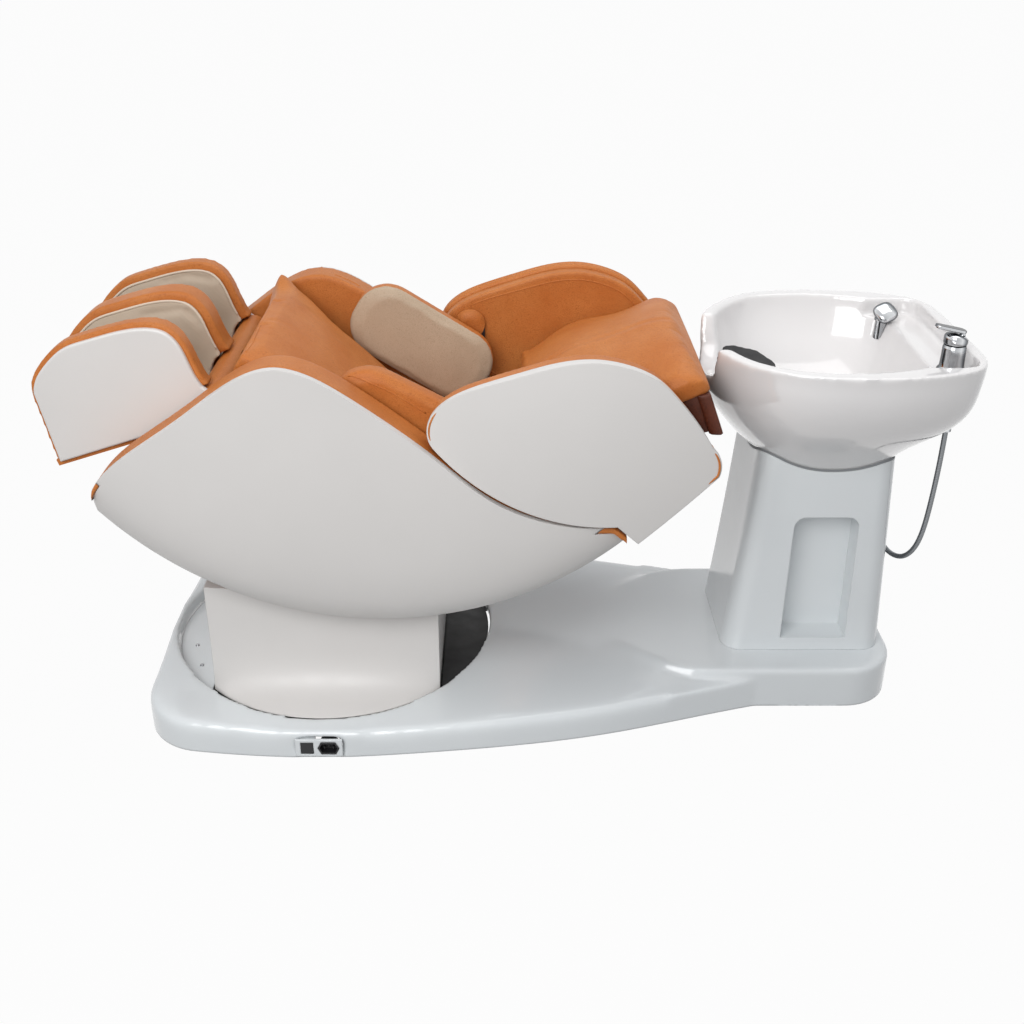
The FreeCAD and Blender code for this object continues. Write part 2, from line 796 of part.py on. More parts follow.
def recess_plate():
    """The flat plate that closes the recess on the foot side of the pedestal."""
    radius = mm.recess_radius - mm.recess_plate_gap
    edge = mm.pedestal_left_x - mm.recess_plate_gap - mm.recess_x
    half = math.sqrt(radius ** 2 - edge ** 2)
    body = doc.addObject("PartDesign::Body", "recess_plate")
    low = size.foot_height + size.rail_height
    sketch = new_sketch(body, "XY_Plane", "recess_plate_outline", low)
    centre = Vector(mm.recess_x, 0, 0)
    start = math.atan2(half, edge)
    sketch.addGeometry(Part.ArcOfCircle(Part.Circle(centre, Z, radius), start, 2 * math.pi - start), False)
    ends = [centre + Vector(edge, -half, 0), centre + Vector(edge, half, 0)]
    sketch.addGeometry(Part.LineSegment(ends[0], ends[1]), False)
    sketch.addConstraint(Sketcher.Constraint("Coincident", 0, 2, 1, 1))
    sketch.addConstraint(Sketcher.Constraint("Coincident", 1, 2, 0, 1))
    sketch.addConstraint(Sketcher.Constraint("Vertical", 1))
    pin_point(sketch, 0, 3, (size.recess_x, 0))
    number = sketch.addConstraint(Sketcher.Constraint("Radius", 0, radius))
    bind(sketch, "Constraints[%d]" % number, size.recess_radius - size.recess_plate_gap)
    number = sketch.addConstraint(Sketcher.Constraint("DistanceX", -1, 1, 1, 1, ends[0].x))
    bind(sketch, "Constraints[%d]" % number, size.pedestal_left_x - size.recess_plate_gap)
    pad(body, sketch, size.recess_plate_thickness, "recess_plate_sheet")
    return body


def recess_plate_screws():
    top = size.foot_height + size.rail_height + size.recess_plate_thickness
    heads = []
    for spot in plate_screw_spots():
        heads.append(cone("plate_screw_%d" % len(heads), (spot[0], spot[1], top), size.plate_screw_radius,
                          size.plate_screw_radius - size.plate_screw_head / 2, size.plate_screw_head))
    return group("recess_plate_screws", *heads)


def pedestal_level(share, flare_share, wall):
    """One level of the pedestal: straight ends, sides bowed outwards, flared at the foot."""
    low = mm.foot_height + mm.rail_height
    z = low + share * (mm.pedestal_top_z - low)
    left = mm.pedestal_left_x + wall
    right = mm.pedestal_left_x + mm.pedestal_length - wall
    half = mm.pedestal_half_width + flare_share * mm.pedestal_bow - wall
    bow = mm.pedestal_half_width + mm.pedestal_bow + flare_share * mm.pedestal_flare - wall
    middle = (left + right) / 2
    corners = [Vector(left, -half, z), Vector(right, -half, z), Vector(right, half, z), Vector(left, half, z)]
    return Part.Wire([arc(corners[0], Vector(middle, -bow, z), corners[1]), line(corners[1], corners[2]),
                      arc(corners[2], Vector(middle, bow, z), corners[3]), line(corners[3], corners[0])])


def pedestal_cover():
    outside = Part.makeLoft([pedestal_level(*share, 0) for share in PEDESTAL_LEVEL_SHARES], True, False)
    inside = Part.makeLoft([pedestal_level(*share, mm.pedestal_wall) for share in PEDESTAL_LEVEL_SHARES],
                           True, False)
    inside.translate(Vector(0, 0, -mm.pedestal_wall))
    margin = mm.pedestal_mouth_margin
    mouth = Part.makeBox(mm.pedestal_length - margin * 2, (mm.pedestal_half_width - margin) * 2,
                         mm.pedestal_wall * 4,
                         Vector(mm.pedestal_left_x + margin, margin - mm.pedestal_half_width,
                                mm.pedestal_top_z - mm.pedestal_wall * 2))
    return free_form("pedestal_cover", outside.cut(inside).cut(mouth))


def pedestal_frame():
    """Two uprights on the rails, tied by a tube, with the bores of the tilt shaft."""
    low = size.foot_height + size.rail_height
    pieces = []
    for side, sign in (("near", -1), ("far", 1)):
        y = size.upright_y * sign - size.upright_thickness / 2
        body = doc.addObject("PartDesign::Body", "upright_" + side)
        sketch = new_sketch(body, "XZ_Plane", "upright_outline_" + side, -y)
        half = size.upright_foot / 2
        boss = size.upright_boss_radius
        polygon(sketch, ((size.tilt_x - half, low), (size.tilt_x + half, low),
                         (size.tilt_x + boss, size.tilt_z), (size.tilt_x - boss, size.tilt_z)))
        pad(body, sketch, size.upright_thickness, "upright_sheet_" + side)
        feature = body.Tip
        feature.Reversed = True
        pieces.append(body)
        pieces.append(cylinder("upright_boss_" + side, (size.tilt_x, y, size.tilt_z), boss,
                               size.upright_thickness, "y"))
    tie_spot = drive_mount("tilt")
    tie = cylinder("upright_tie", (0, -size.upright_y, 0), size.upright_tie_radius, size.upright_y * 2, "y")
    tie.Placement.Base = tie_spot - Y * mm.upright_y
    for axis in "xyz":
        tie.setExpression("Placement.Base." + axis, None)
    pieces.append(tie)
    bore = cylinder("tilt_bores", (size.tilt_x, -size.upright_y * 2, size.tilt_z),
                    size.tilt_shaft_radius, size.upright_y * 4, "y")
    return cut("pedestal_frame", fuse("pedestal_frame_welded", *pieces), bore)


def tilt_shaft():
    end = size.plate_inner_y + size.plate_thickness
    return cylinder("tilt_shaft", (size.tilt_x, -end, size.tilt_z), size.tilt_shaft_radius, end * 2, "y")


def inlet_face_y():
    return -size.plinth_half_width - size.inlet_plate_thickness


def power_inlet_plate():
    """The plate on the near wall, with the rocker's frame behind it and the window of the socket."""
    x = size.inlet_x
    z = size.inlet_z
    face_y = inlet_face_y()
    plate = box("inlet_plate_sheet", (x - size.inlet_plate_width / 2, face_y, z - size.inlet_plate_height / 2),
                (size.inlet_plate_width, size.inlet_plate_thickness, size.inlet_plate_height))
    wall_form = free_form("plinth_wall_form", prism_z(plinth_outline(), -mm.overrun, mm.platform_z))
    plate = cut("inlet_plate_fitted", plate, wall_form)
    tall = size.rocker_side + size.rocker_gap * 2
    wide = size.rocker_side + size.part_gap * 2
    wall = size.rocker_frame_wall
    rocker_x = x - size.rocker_offset
    frame = box("rocker_frame", (rocker_x - wide / 2 - wall, face_y, z - tall / 2 - wall),
                (wide + wall * 2, size.rocker_depth * 2, tall + wall * 2))
    mouth = box("rocker_mouth", (rocker_x - wide / 2, face_y - size.overrun, z - tall / 2),
                (wide, size.rocker_depth * 2 + size.overrun * 2, tall))
    pin = cylinder("rocker_pin_bore", (rocker_x - wide, face_y + size.rocker_depth / 2, z),
                   size.rocker_pin_radius + size.running_gap, wide * 2, "x")
    window = free_form("socket_window", socket_prism(0, -mm.overrun, mm.socket_depth))
    return cut("power_inlet_plate", fuse("inlet_plate_and_frame", plate, frame),
               fuse("inlet_plate_cuts", mouth, pin, window))


def socket_prism(wall, start, end):
    """A six-sided bar of the inlet socket, from start to end behind the face of the plate."""
    half_width = mm.socket_width / 2 - wall
    half_height = mm.socket_height / 2 - wall
    x = mm.inlet_x + mm.socket_offset
    slant = half_height * 0.5
    corners = [(-half_width, 0), (-half_width + slant, half_height), (half_width - slant, half_height),
               (half_width, 0), (half_width - slant, -half_height), (-half_width + slant, -half_height)]
    spots = [at_xz(x + dx, mm.inlet_z + dz) for dx, dz in corners]
    wire = Part.makePolygon(spots + spots[:1])
    face_y = inlet_face_y().value
    return prism_y(wire, face_y + start, face_y + end)


def inlet_socket():
    wall = mm.socket_wall
    socket = socket_prism(0, -wall / 4, mm.socket_depth)
    socket = socket.cut(socket_prism(wall, -mm.overrun, mm.socket_depth - wall))
    for step in (-1, 0, 1):
        blade_x = mm.inlet_x + mm.socket_offset + step * mm.socket_blade_pitch * 0.7
        lift = mm.socket_blade_width / 2 if step == 0 else -mm.socket_blade_width / 2
        blade = Part.makeBox(mm.socket_blade_thickness, mm.socket_depth - wall * 2, mm.socket_blade_width,
                             Vector(blade_x - mm.socket_blade_thickness / 2, inlet_face_y().value + wall * 1.5,
                                    mm.inlet_z + lift - mm.socket_blade_width / 2))
        socket = socket.fuse(blade)
    return free_form("inlet_socket", socket)


def power_rocker():
    x = mm.inlet_x - mm.rocker_offset
    y = inlet_face_y().value
    side = mm.rocker_side
    shape = Part.makeBox(side, mm.rocker_depth, side, Vector(x - side / 2, y, mm.inlet_z - side / 2))
    reach = side + mm.part_gap * 2 + mm.rocker_frame_wall * 1.6
    axis = Vector(x - reach / 2, y + mm.rocker_depth / 2, mm.inlet_z)
    shape = shape.fuse(Part.makeCylinder(mm.rocker_pin_radius, reach, axis, X))
    shape.rotate(axis, X, -mm.rocker_tilt)
    return free_form("power_rocker", shape)


# Column and basin

def column_level(share, wall):
    """One level of the column, a rectangle with round corners, inset by the wall."""
    z = mm.platform_z + share * (mm.column_head_z - mm.platform_z)
    bow = 0.25 * share * (1 - share)
    blend = share + bow
    left = mm.column_foot_x + blend * (mm.column_head_x - mm.column_foot_x) + wall
    length = mm.column_foot_length + share * (mm.column_head_length - mm.column_foot_length) - wall * 2
    half = mm.column_half_width + share * (mm.column_head_half_width - mm.column_half_width) - wall
    right = mm.column_foot_x + mm.column_foot_length + share * (
        mm.column_head_x + mm.column_head_length - mm.column_foot_x - mm.column_foot_length) - wall
    corner = mm.column_corner - wall
    bend = corner * (1 - math.sqrt(0.5))
    assert right - left > length * 0.5
    edges = []
    spots = ((left, -half, 1, 1), (right, -half, -1, 1), (right, half, -1, -1), (left, half, 1, -1))
    ends = []
    for index, (x, y, sx, sy) in enumerate(spots):
        beside = Vector(x, y + sy * corner, z)
        below = Vector(x + sx * corner, y, z)
        middle = Vector(x + sx * bend, y + sy * bend, z)
        first, last = (beside, below) if index % 2 == 0 else (below, beside)
        ends.append((first, middle, last))
    for index, (first, middle, last) in enumerate(ends):
        edges.append(arc(first, middle, last))
        edges.append(line(last, ends[(index + 1) % len(ends)][0]))
    return Part.Wire(edges)


def column_loft(wall, low_share=0.0):
    return Part.makeLoft([column_level(share, wall) for share in (low_share, 0.35, 0.7, 1.02)], True, False)


def niche_solid(wall):
    """The pocket of the niche, grown by the wall on its sides and back."""
    low = mm.niche_z - wall
    high = mm.niche_z + mm.niche_height + wall
    left = mm.niche_x - wall
    right = mm.niche_x + mm.niche_width + wall
    lean = (mm.niche_width - mm.niche_head_width) / 2
    corner = mm.niche_corner + wall
    bend = corner * (1 - math.sqrt(0.5))
    top_left = left + lean
    top_right = right - lean
    wire = Part.Wire([
        line(at_xz(left, low), at_xz(right, low)), line(at_xz(right, low), at_xz(top_right, high - corner)),
        arc(at_xz(top_right, high - corner), at_xz(top_right - bend, high - bend),
            at_xz(top_right - corner, high)),
        line(at_xz(top_right - corner, high), at_xz(top_left + corner, high)),
        arc(at_xz(top_left + corner, high), at_xz(top_left + bend, high - bend), at_xz(top_left, high - corner)),
        line(at_xz(top_left, high - corner), at_xz(left, low))])
    return prism_y(wire, -mm.column_half_width - mm.overrun, -mm.column_half_width + mm.niche_depth + wall)


def basin_outline(left, length, half, z):
    near = [Vector(left + share[0] * length, -share[1] * half, z) for share in BASIN_OUTLINE_SHARES]
    far = [Vector(spot.x, -spot.y, z) for spot in reversed(near[1:-1])]
    return Part.Wire(spline(near + far, True))


def basin_loft(levels, left, length, half, low_z, high_z, grown=0.0):
    sections = []
    for share, left_share, right_share, width_share in levels:
        start = left + left_share * length - grown
        reach = (right_share - left_share) * length + grown * 2
        z = low_z - grown + share * (high_z - low_z + grown)
        sections.append(basin_outline(start, reach, half * width_share + grown, z))
    return Part.makeLoft(sections, True, False)


def basin_outside(grown=0.0):
    return basin_loft(BASIN_LEVEL_SHARES, mm.basin_left_x, mm.basin_length, mm.basin_half_width,
                      mm.basin_foot_z, mm.basin_rim_z, grown)


def bowl_space():
    return basin_loft(BOWL_LEVEL_SHARES, mm.bowl_left_x, mm.bowl_length, mm.bowl_half_width,
                      mm.bowl_floor_z, mm.basin_rim_z)


def deck_space():
    left, right, half, corner = mm.deck_left_x, mm.deck_right_x, mm.deck_half_width, mm.deck_corner
    block = Part.makeBox(right - left, half * 2, mm.basin_rim_z - mm.deck_z + mm.overrun,
                         Vector(left, -half, mm.deck_z))
    uprights = [edge for edge in block.Edges if edge.BoundBox.ZLength > mm.overrun]
    return block.makeFillet(corner, uprights)


def notch_space():
    low, half, flare = mm.notch_z, mm.notch_half_width, mm.notch_flare
    high = mm.basin_rim_z + mm.overrun
    x = mm.basin_left_x - mm.overrun
    spots = [Vector(x, -half - flare, high), Vector(x, -half, low + flare), Vector(x, 0, low),
             Vector(x, half, low + flare), Vector(x, half + flare, high)]
    wire = Part.Wire([line(spots[0], spots[1]), arc(spots[1], spots[2], spots[3]), line(spots[3], spots[4]),
                      line(spots[4], spots[0])])
    return Part.Face(wire).extrude(Vector(mm.notch_length, 0, 0))


def fitting_bores():
    deep = mm.mixer_shank_length * 2
    mixer = Part.makeCylinder(mm.mixer_shank_radius, deep, Vector(mm.mixer_x, mm.mixer_y, mm.deck_z - deep))
    handset = Part.makeCylinder(mm.handset_bore_radius, deep,
                                Vector(mm.handset_x, mm.handset_y, mm.deck_z - deep))
    drain = Part.makeCylinder(mm.drain_radius, deep, Vector(mm.drain_x, 0, mm.bowl_floor_z - deep + mm.overrun))
    return mixer.fuse(handset).fuse(drain)


def basin():
    hollow = bowl_space().fuse(deck_space()).fuse(notch_space())
    return free_form("basin", basin_outside().cut(hollow).cut(fitting_bores()))


def column_shell():
    outside = column_loft(0)
    wall = outside.cut(column_loft(mm.column_wall, -0.02))
    back = niche_solid(mm.niche_wall).common(outside)
    shell = wall.fuse(back).cut(niche_solid(0))
    return free_form("column_shell", shell.cut(basin_outside(mm.basin_joint)))


def basin_gasket():
    wall = column_loft(0).cut(column_loft(mm.column_wall, -0.02))
    return free_form("basin_gasket", wall.common(basin_outside(mm.basin_joint)).cut(basin_outside()))


def column_post():
    low = size.foot_height + size.rail_height
    top = size.basin_foot_z - size.basin_plate_thickness
    half = size.post_side / 2
    post = tube("post_tube", (size.post_x - half, -half, low), (size.post_side, size.post_side, top - low),
                size.post_wall, "z")
    plate = box("basin_plate", (size.basin_plate_x, -size.basin_plate_width / 2, top),
                (size.basin_plate_length, size.basin_plate_width, size.basin_plate_thickness))
    hole = cylinder("basin_plate_hole", (size.drain_x, 0, top - size.overrun),
                    size.drain_flange_radius, size.basin_plate_thickness + size.overrun * 2)
    return cut("column_post", fuse("post_and_plate", post, plate), hole)


def neck_rest():
    """A rubber saddle that fills the notch and slopes into the bowl."""
    x, long, half = mm.neck_rest_x, mm.neck_rest_length, mm.neck_rest_half_width
    top = mm.neck_rest_top_z
    low = mm.bowl_floor_z
    side = Part.Wire([line(at_xz(x, low), at_xz(x + long, low)),
                      line(at_xz(x + long, low), at_xz(x + long, top - mm.neck_rest_fall)),
                      line(at_xz(x + long, top - mm.neck_rest_fall), at_xz(x, top)),
                      line(at_xz(x, top), at_xz(x, low))])
    block = prism_y(side, -half, half)
    saddle_radius = (half ** 2 + mm.neck_rest_saddle ** 2) / (2 * mm.neck_rest_saddle)
    start = at_xz(x - long, top + mm.neck_rest_fall - mm.neck_rest_saddle + saddle_radius)
    fall = Vector(long, 0, -mm.neck_rest_fall)
    saddle = Part.makeCylinder(saddle_radius, long * 3, start, fall)
    space = bowl_space().fuse(notch_space())
    shape = block.cut(saddle).common(space)
    return free_form("neck_rest", max(shape.Solids, key=lambda solid: solid.Volume))


def drain_flange():
    low = -size.drain_tail
    bore = size.drain_radius - size.drain_wall
    rim = size.drain_flange_radius
    body = turned("drain_flange", ((bore, low), (size.drain_radius, low), (size.drain_radius, 0), (rim, 0),
                                   (rim, size.drain_flange_thickness), (bore, size.drain_flange_thickness)))
    return place(body, (size.drain_x, 0, size.bowl_floor_z))


def hair_strainer():
    """A domed cap on a stem that lifts out of the drain."""
    stem = size.strainer_stem_radius
    dome = size.strainer_dome
    rim = size.strainer_radius
    body = turned("hair_strainer", ((0, -size.strainer_stem_length), (stem, -size.strainer_stem_length),
                                    (stem, 0), (rim, 0), (rim, dome / 3), (rim / 2, dome), (0, dome)))
    return place(body, (size.drain_x, 0, size.bowl_floor_z + size.drain_flange_thickness))


def drain_pipe():
    low = size.drain_pipe_end_z
    high = size.bowl_floor_z - size.drain_tail
    outside = cylinder("drain_pipe_outside", (size.drain_x, 0, low), size.drain_pipe_radius, high - low)
    bore = cylinder("drain_pipe_bore", (size.drain_x, 0, low - size.overrun),
                    size.drain_pipe_radius - size.drain_wall, high - low + size.overrun * 2)
    return cut("drain_pipe", outside, bore)


def mixer_body():
    base = size.mixer_base_height
    top = size.mixer_height
    neck = top + size.mixer_neck_height
    shank = size.mixer_shank_radius
    body = turned("mixer_body", ((0, -size.mixer_shank_length), (shank, -size.mixer_shank_length), (shank, 0),
                                 (size.mixer_base_radius, 0), (size.mixer_base_radius, base),
                                 (size.mixer_radius, base), (size.mixer_radius, top),
                                 (size.mixer_neck_radius, top), (size.mixer_neck_radius, neck), (0, neck)))
    return place(body, (size.mixer_x, size.mixer_y, size.deck_z))


def mixer_cap_z():
    return mm.deck_z + mm.mixer_height + mm.part_gap


def lever_pivot():
    return Vector(mm.mixer_x + mm.lever_pivot_offset, mm.mixer_y, mixer_cap_z() + mm.mixer_cap_height * 0.72)


def mixer_cap():
    """The turning head of the mixer, slotted for the lever and bored for the lever's pin."""
    low = Vector(mm.mixer_x, mm.mixer_y, mixer_cap_z())
    cap = Part.makeCylinder(mm.mixer_radius, mm.mixer_cap_height, low)
    cap = cap.cut(Part.makeCylinder(mm.mixer_neck_radius + mm.running_gap,
                                    mm.mixer_neck_height - mm.part_gap + mm.running_gap, low))
    pivot = lever_pivot()
    slot_low = mixer_cap_z() + mm.mixer_neck_height + mm.lever_gap
    half = mm.lever_width / 4 + mm.lever_gap
    cap = cap.cut(Part.makeBox(mm.mixer_radius * 4, half * 2, mm.mixer_cap_height * 2,
                               Vector(mm.mixer_x - mm.mixer_radius * 2, mm.mixer_y - half, slot_low)))
    bore = Part.makeCylinder(mm.lever_pin_radius + mm.running_gap, mm.mixer_radius * 4,
                             pivot - Y * mm.mixer_radius * 2, Y)
    return free_form("mixer_cap", cap.cut(bore))


def mixer_lever():
    """The lever: a tongue on its pin in the cap's slot, and a wide blade above, pointing to the seat."""
    pivot = lever_pivot()
    tongue_half = mm.lever_width / 4
    cap_top = mixer_cap_z() + mm.mixer_cap_height
    tongue = Part.makeCylinder(mm.lever_pin_radius * 1.8, tongue_half * 2, pivot - Y * tongue_half, Y)
    riser = Part.makeBox(mm.lever_pin_radius * 3, tongue_half * 2, cap_top + mm.lever_gap * 4 - pivot.z,
                         Vector(pivot.x - mm.lever_pin_radius * 1.5, pivot.y - tongue_half, pivot.z))
    pin_half = math.sqrt(mm.mixer_radius ** 2 - (mm.lever_pivot_offset + mm.lever_pin_radius) ** 2)
    pin = Part.makeCylinder(mm.lever_pin_radius, pin_half * 2, pivot - Y * pin_half, Y)
    half = mm.lever_width / 2
    low = cap_top + mm.lever_gap * 3
    back = pivot.x + mm.lever_pin_radius * 1.7
    blade = Part.makeBox(mm.lever_length, half * 2, mm.lever_thickness,
                         Vector(back - mm.lever_length, pivot.y - half, low))
    uprights = [edge for edge in blade.Edges if edge.BoundBox.ZLength > mm.lever_thickness / 2]
    blade = blade.makeFillet(half * 0.7, uprights)
    blade.rotate(Vector(back, pivot.y, low), Y, mm.lever_slope)
    return free_form("mixer_lever", blade.fuse(riser).fuse(tongue).fuse(pin))


def handset_socket():
    bore = size.handset_stem_radius + size.part_gap
    body = turned("handset_socket", ((bore, -size.handset_stem_length), (size.handset_bore_radius,
                                      -size.handset_stem_length), (size.handset_bore_radius, 0),
                                     (size.handset_socket_radius, 0),
                                     (size.handset_socket_radius, size.handset_socket_height),
                                     (bore, size.handset_socket_height)))
    return place(body, (size.handset_x, size.handset_y, size.deck_z))


def handset():
    """A square shower head on a short stem that stands in its socket."""
    low = mm.deck_z - mm.handset_stem_length
    seat_z = mm.deck_z + mm.handset_socket_height
    spot = Vector(mm.handset_x, mm.handset_y, low)
    collar = mm.handset_socket_radius
    head_z = seat_z + mm.handset_head_side * 0.42
    stem = Part.makeCylinder(mm.handset_stem_radius, head_z - low, spot)
    ring = Part.makeCone(collar, mm.handset_stem_radius, mm.handset_head_depth * 0.5,
                         Vector(mm.handset_x, mm.handset_y, seat_z))
    side = mm.handset_head_side
    head = Part.makeBox(side, side, mm.handset_head_depth,
                        Vector(mm.handset_x - side / 2, mm.handset_y - side / 2, head_z))
    uprights = [edge for edge in head.Edges if edge.BoundBox.ZLength > mm.handset_head_depth / 2]
    head = head.makeFillet(side * 0.24, uprights)
    head.rotate(Vector(mm.handset_x, mm.handset_y, head_z), X, mm.handset_head_tilt)
    return free_form("handset", stem.fuse(ring).fuse(head))


def rounded_route(points):
    """Straight runs joined by tangent arcs, each as large as its runs allow; prints the radii."""
    spots = [Vector(*point) for point in points]
    pieces = []
    radii = []
    start = spots[0]
    for before, corner, after in zip(spots, spots[1:], spots[2:]):
        into = (corner - before).normalize()
        out = (after - corner).normalize()
        turn = into.getAngle(out)
        reach = 0.45 * min((corner - before).Length, (after - corner).Length)
        radii.append(reach / math.tan(turn / 2))
        first = corner - into * reach
        last = corner + out * reach
        bisector = (out - into).normalize()
        middle = corner + bisector * (radii[-1] / math.cos(turn / 2) - radii[-1])
        pieces.append(line(start, first))
        pieces.append(arc(first, middle, last))
        start = last
    pieces.append(line(start, spots[-1]))
    print("hose radii", [round(radius) for radius in radii])
    return Part.Wire(pieces)


def mixer_hose():
    """A ribbed metal hose with its bore: ribs are circles of two sizes along the route."""
    path = rounded_route(HOSE_ROUTE)
    steps = mm.hose_rib_count * 4
    spots = path.discretize(Number=int(steps) + 1)
    sections = []
    steady = (spots[-1] - spots[0]).cross(Z).normalize()
    plain_end = mm.hose_radius * 2
    travelled = 0.0
    for index, spot in enumerate(spots):
        ahead = spots[min(index + 1, len(spots) - 1)]
        behind = spots[max(index - 1, 0)]
        if index:
            travelled += (spot - spots[index - 1]).Length
        crest = index % 4 in (1, 2) and plain_end < travelled < path.Length - plain_end
        radius = mm.hose_radius if crest else mm.hose_radius - mm.hose_rib_height
        ring = Part.Circle(spot, ahead - behind, radius)
        ring.XAxis = (steady - ring.Axis * steady.dot(ring.Axis)).normalize()
        sections.append(Part.Wire(ring.toShape()))
    ribs = Part.makeLoft(sections, True, True)
    bores = []
    for wire in sections[::4]:
        ring = wire.Edges[0].Curve.copy()
        ring.Radius = mm.hose_bore_radius
        bores.append(Part.Wire(ring.toShape()))
    return free_form("mixer_hose", ribs.cut(Part.makeLoft(bores, True, True)))


def hose_unions():
    """The nut under the basin, and the elbow that leads the hose's lower end into the column."""
    nuts = []
    for end, neighbour, reach in ((HOSE_ROUTE[0], HOSE_ROUTE[1], mm.union_rise),
                                  (HOSE_ROUTE[-1], HOSE_ROUTE[-2], mm.union_length)):
        spot = Vector(*end)
        outwards = (spot - Vector(*neighbour)).normalize()
        nuts.append(Part.makeCylinder(mm.union_radius, reach, spot, outwards))
    spot = Vector(*HOSE_ROUTE[-1])
    outwards = (spot - Vector(*HOSE_ROUTE[-2])).normalize()
    elbow = Part.makeCylinder(mm.union_radius, mm.union_length * 4, spot + outwards * mm.union_length, -X)
    elbow = elbow.fuse(Part.makeSphere(mm.union_radius, spot + outwards * mm.union_length))
    lower = nuts[1].fuse(elbow).cut(column_loft(0))
    upper = nuts[0].cut(basin_outside())
    solids = [max(shape.Solids, key=lambda solid: solid.CenterOfMass.x) for shape in (upper, lower)]
    return free_form("hose_unions", Part.makeCompound(solids))


# Seat

def side_centre():
    middle = mm.side_left_x + mm.side_length * 0.523
    return at_xz(middle, mm.side_low_z + mm.side_arc_radius)


def side_spot(share):
    return at_xz(mm.side_left_x + share[0] * mm.side_length, mm.side_low_z + share[1] * mm.side_height)


def on_side_arc(x, radius):
    centre = side_centre()
    return at_xz(x, centre.z - math.sqrt(radius ** 2 - (x - centre.x) ** 2))


def side_outline():
    """The crescent of the side: a humped upper edge over one long arc."""
    top = [side_spot(share) for share in SIDE_TOP_SHARES]
    tail = side_spot(SIDE_TAIL_SHARE)
    radius = mm.side_arc_radius
    left = on_side_arc(mm.side_left_x, radius)
    right = on_side_arc(mm.side_left_x + mm.side_length, radius)
    low = on_side_arc(side_centre().x, radius)
    return Part.Wire([spline(top), line(top[-1], tail), line(tail, right), arc(right, low, left),
                      line(left, top[0])])


def side_block():
    """The near side's outer form: a crown turned about the axis of the long lower arc."""
    centre = side_centre()
    radius = mm.side_arc_radius
    skin = [Vector(0, -mm.side_outer_y + tuck * mm.side_tuck, -share * radius)
            for share, tuck in SIDE_PROFILE_SHARES]
    inner = -mm.plate_inner_y - mm.plate_thickness
    top = Vector(0, inner, skin[-1].z)
    foot = Vector(0, inner, skin[0].z)
    profile = Part.Wire([spline(skin), line(skin[-1], top), line(top, foot), line(foot, skin[0])])
    face = Part.Face(profile)
    face.translate(centre)
    face.rotate(centre, Y, 90)
    return face.revolve(centre, Vector(0, -1, 0), 180)


def side_shell():
    block = side_block().common(prism_y(side_outline(), -mm.side_outer_y - mm.overrun, -mm.plate_inner_y))
    skin = mm.side_skin
    hollow = side_block().common(prism_y(inset(side_outline(), skin), -mm.side_outer_y, 0))
    hollow.translate(Vector(0, skin, 0))
    trim = side_trim_strip(-mm.side_trim_outer_y, 0)
    return block.cut(hollow).cut(trim)


def side_trim_strip(low_y, high_y):
    """The strip of the crescent just under its upper edge."""
    lowered = prism_y(side_outline(), low_y, high_y)
    lowered.translate(Vector(0, 0, -mm.side_trim))
    strip = prism_y(side_outline(), low_y, high_y).cut(lowered)
    return max(strip.Solids, key=lambda solid: solid.CenterOfMass.z)


def side_lining():
    """The padded inner wall with the leather roll along the upper edge."""
    wall = prism_y(inset(side_outline(), mm.lining_inset), -mm.lining_inner_y - mm.lining_thickness,
                   -mm.lining_inner_y)
    roll = side_trim_strip(-mm.side_trim_outer_y, -mm.lining_inner_y)
    lining = wall.fuse(roll)
    holes = [(spot, mm.cross_tube_radius + mm.part_gap) for spot in frame_tube_spots()]
    holes += [(TILT_PIVOT, mm.tilt_shaft_radius + mm.part_gap * 3), (LEG_PIVOT, mm.leg_pin_radius + mm.part_gap)]
    for spot, radius in holes:
        lining = lining.cut(Part.makeCylinder(radius, mm.side_outer_y, Vector(spot.x, -mm.side_outer_y, spot.z), Y))
    room = mm.back_ear_radius + mm.part_gap
    ear_slot = Part.makeBox(room * 2, mm.plate_thickness + mm.part_gap * 2, mm.side_height,
                            Vector(mm.back_pivot_x - room, -mm.plate_inner_y - mm.plate_thickness - mm.part_gap,
                                   mm.seat_hip_z - mm.overrun))
    return lining.cut(ear_slot)


def seat_station(share, drop, width_share):
    """A cross-section of the seat: middle of the top, direction across the pad and half its width."""
    x = mm.seat_knee_x + share * (mm.seat_hip_x - mm.seat_knee_x)
    z = mm.seat_knee_z + drop * (mm.seat_hip_z - mm.seat_knee_z)
    return at_xz(x, z), width_share * mm.seat_half_width


def seat_stations():
    stations = [seat_station(*share) for share in SEAT_STATION_SHARES]
    stations.append((at_xz(mm.seat_rear_x, mm.seat_rear_z), mm.seat_hip_half_width * 0.98))
    spots = [spot for spot, _ in stations]
    framed = []
    for index, (spot, half) in enumerate(stations):
        along = spots[min(index + 1, len(spots) - 1)] - spots[max(index - 1, 0)]
        up = Vector(-along.z, 0, along.x).normalize()
        framed.append((spot, up, half))
    return framed


def cushion_section(spot, up, half, thickness, crown, draw):
    """A cushion's section: a flat underside, drawn-in sides and a crowned top."""
    low = spot - up * thickness
    edge = spot - up * crown
    waist = spot - up * (crown + (thickness - crown) * 0.5)
    return Part.Wire([
        line(low - Y * (half - draw), low + Y * (half - draw)),
        arc(low + Y * (half - draw), waist + Y * (half - draw * 0.3), edge + Y * half),
        arc(edge + Y * half, spot, edge - Y * half),
        arc(edge - Y * half, waist - Y * (half - draw * 0.3), low - Y * (half - draw))])


def cushion_solid():
    sections = [cushion_section(spot, up, half, mm.seat_cushion_thickness, mm.seat_cushion_crown,
                                mm.seat_cushion_draw) for spot, up, half in seat_stations()]
    return Part.makeLoft(sections, True, False)


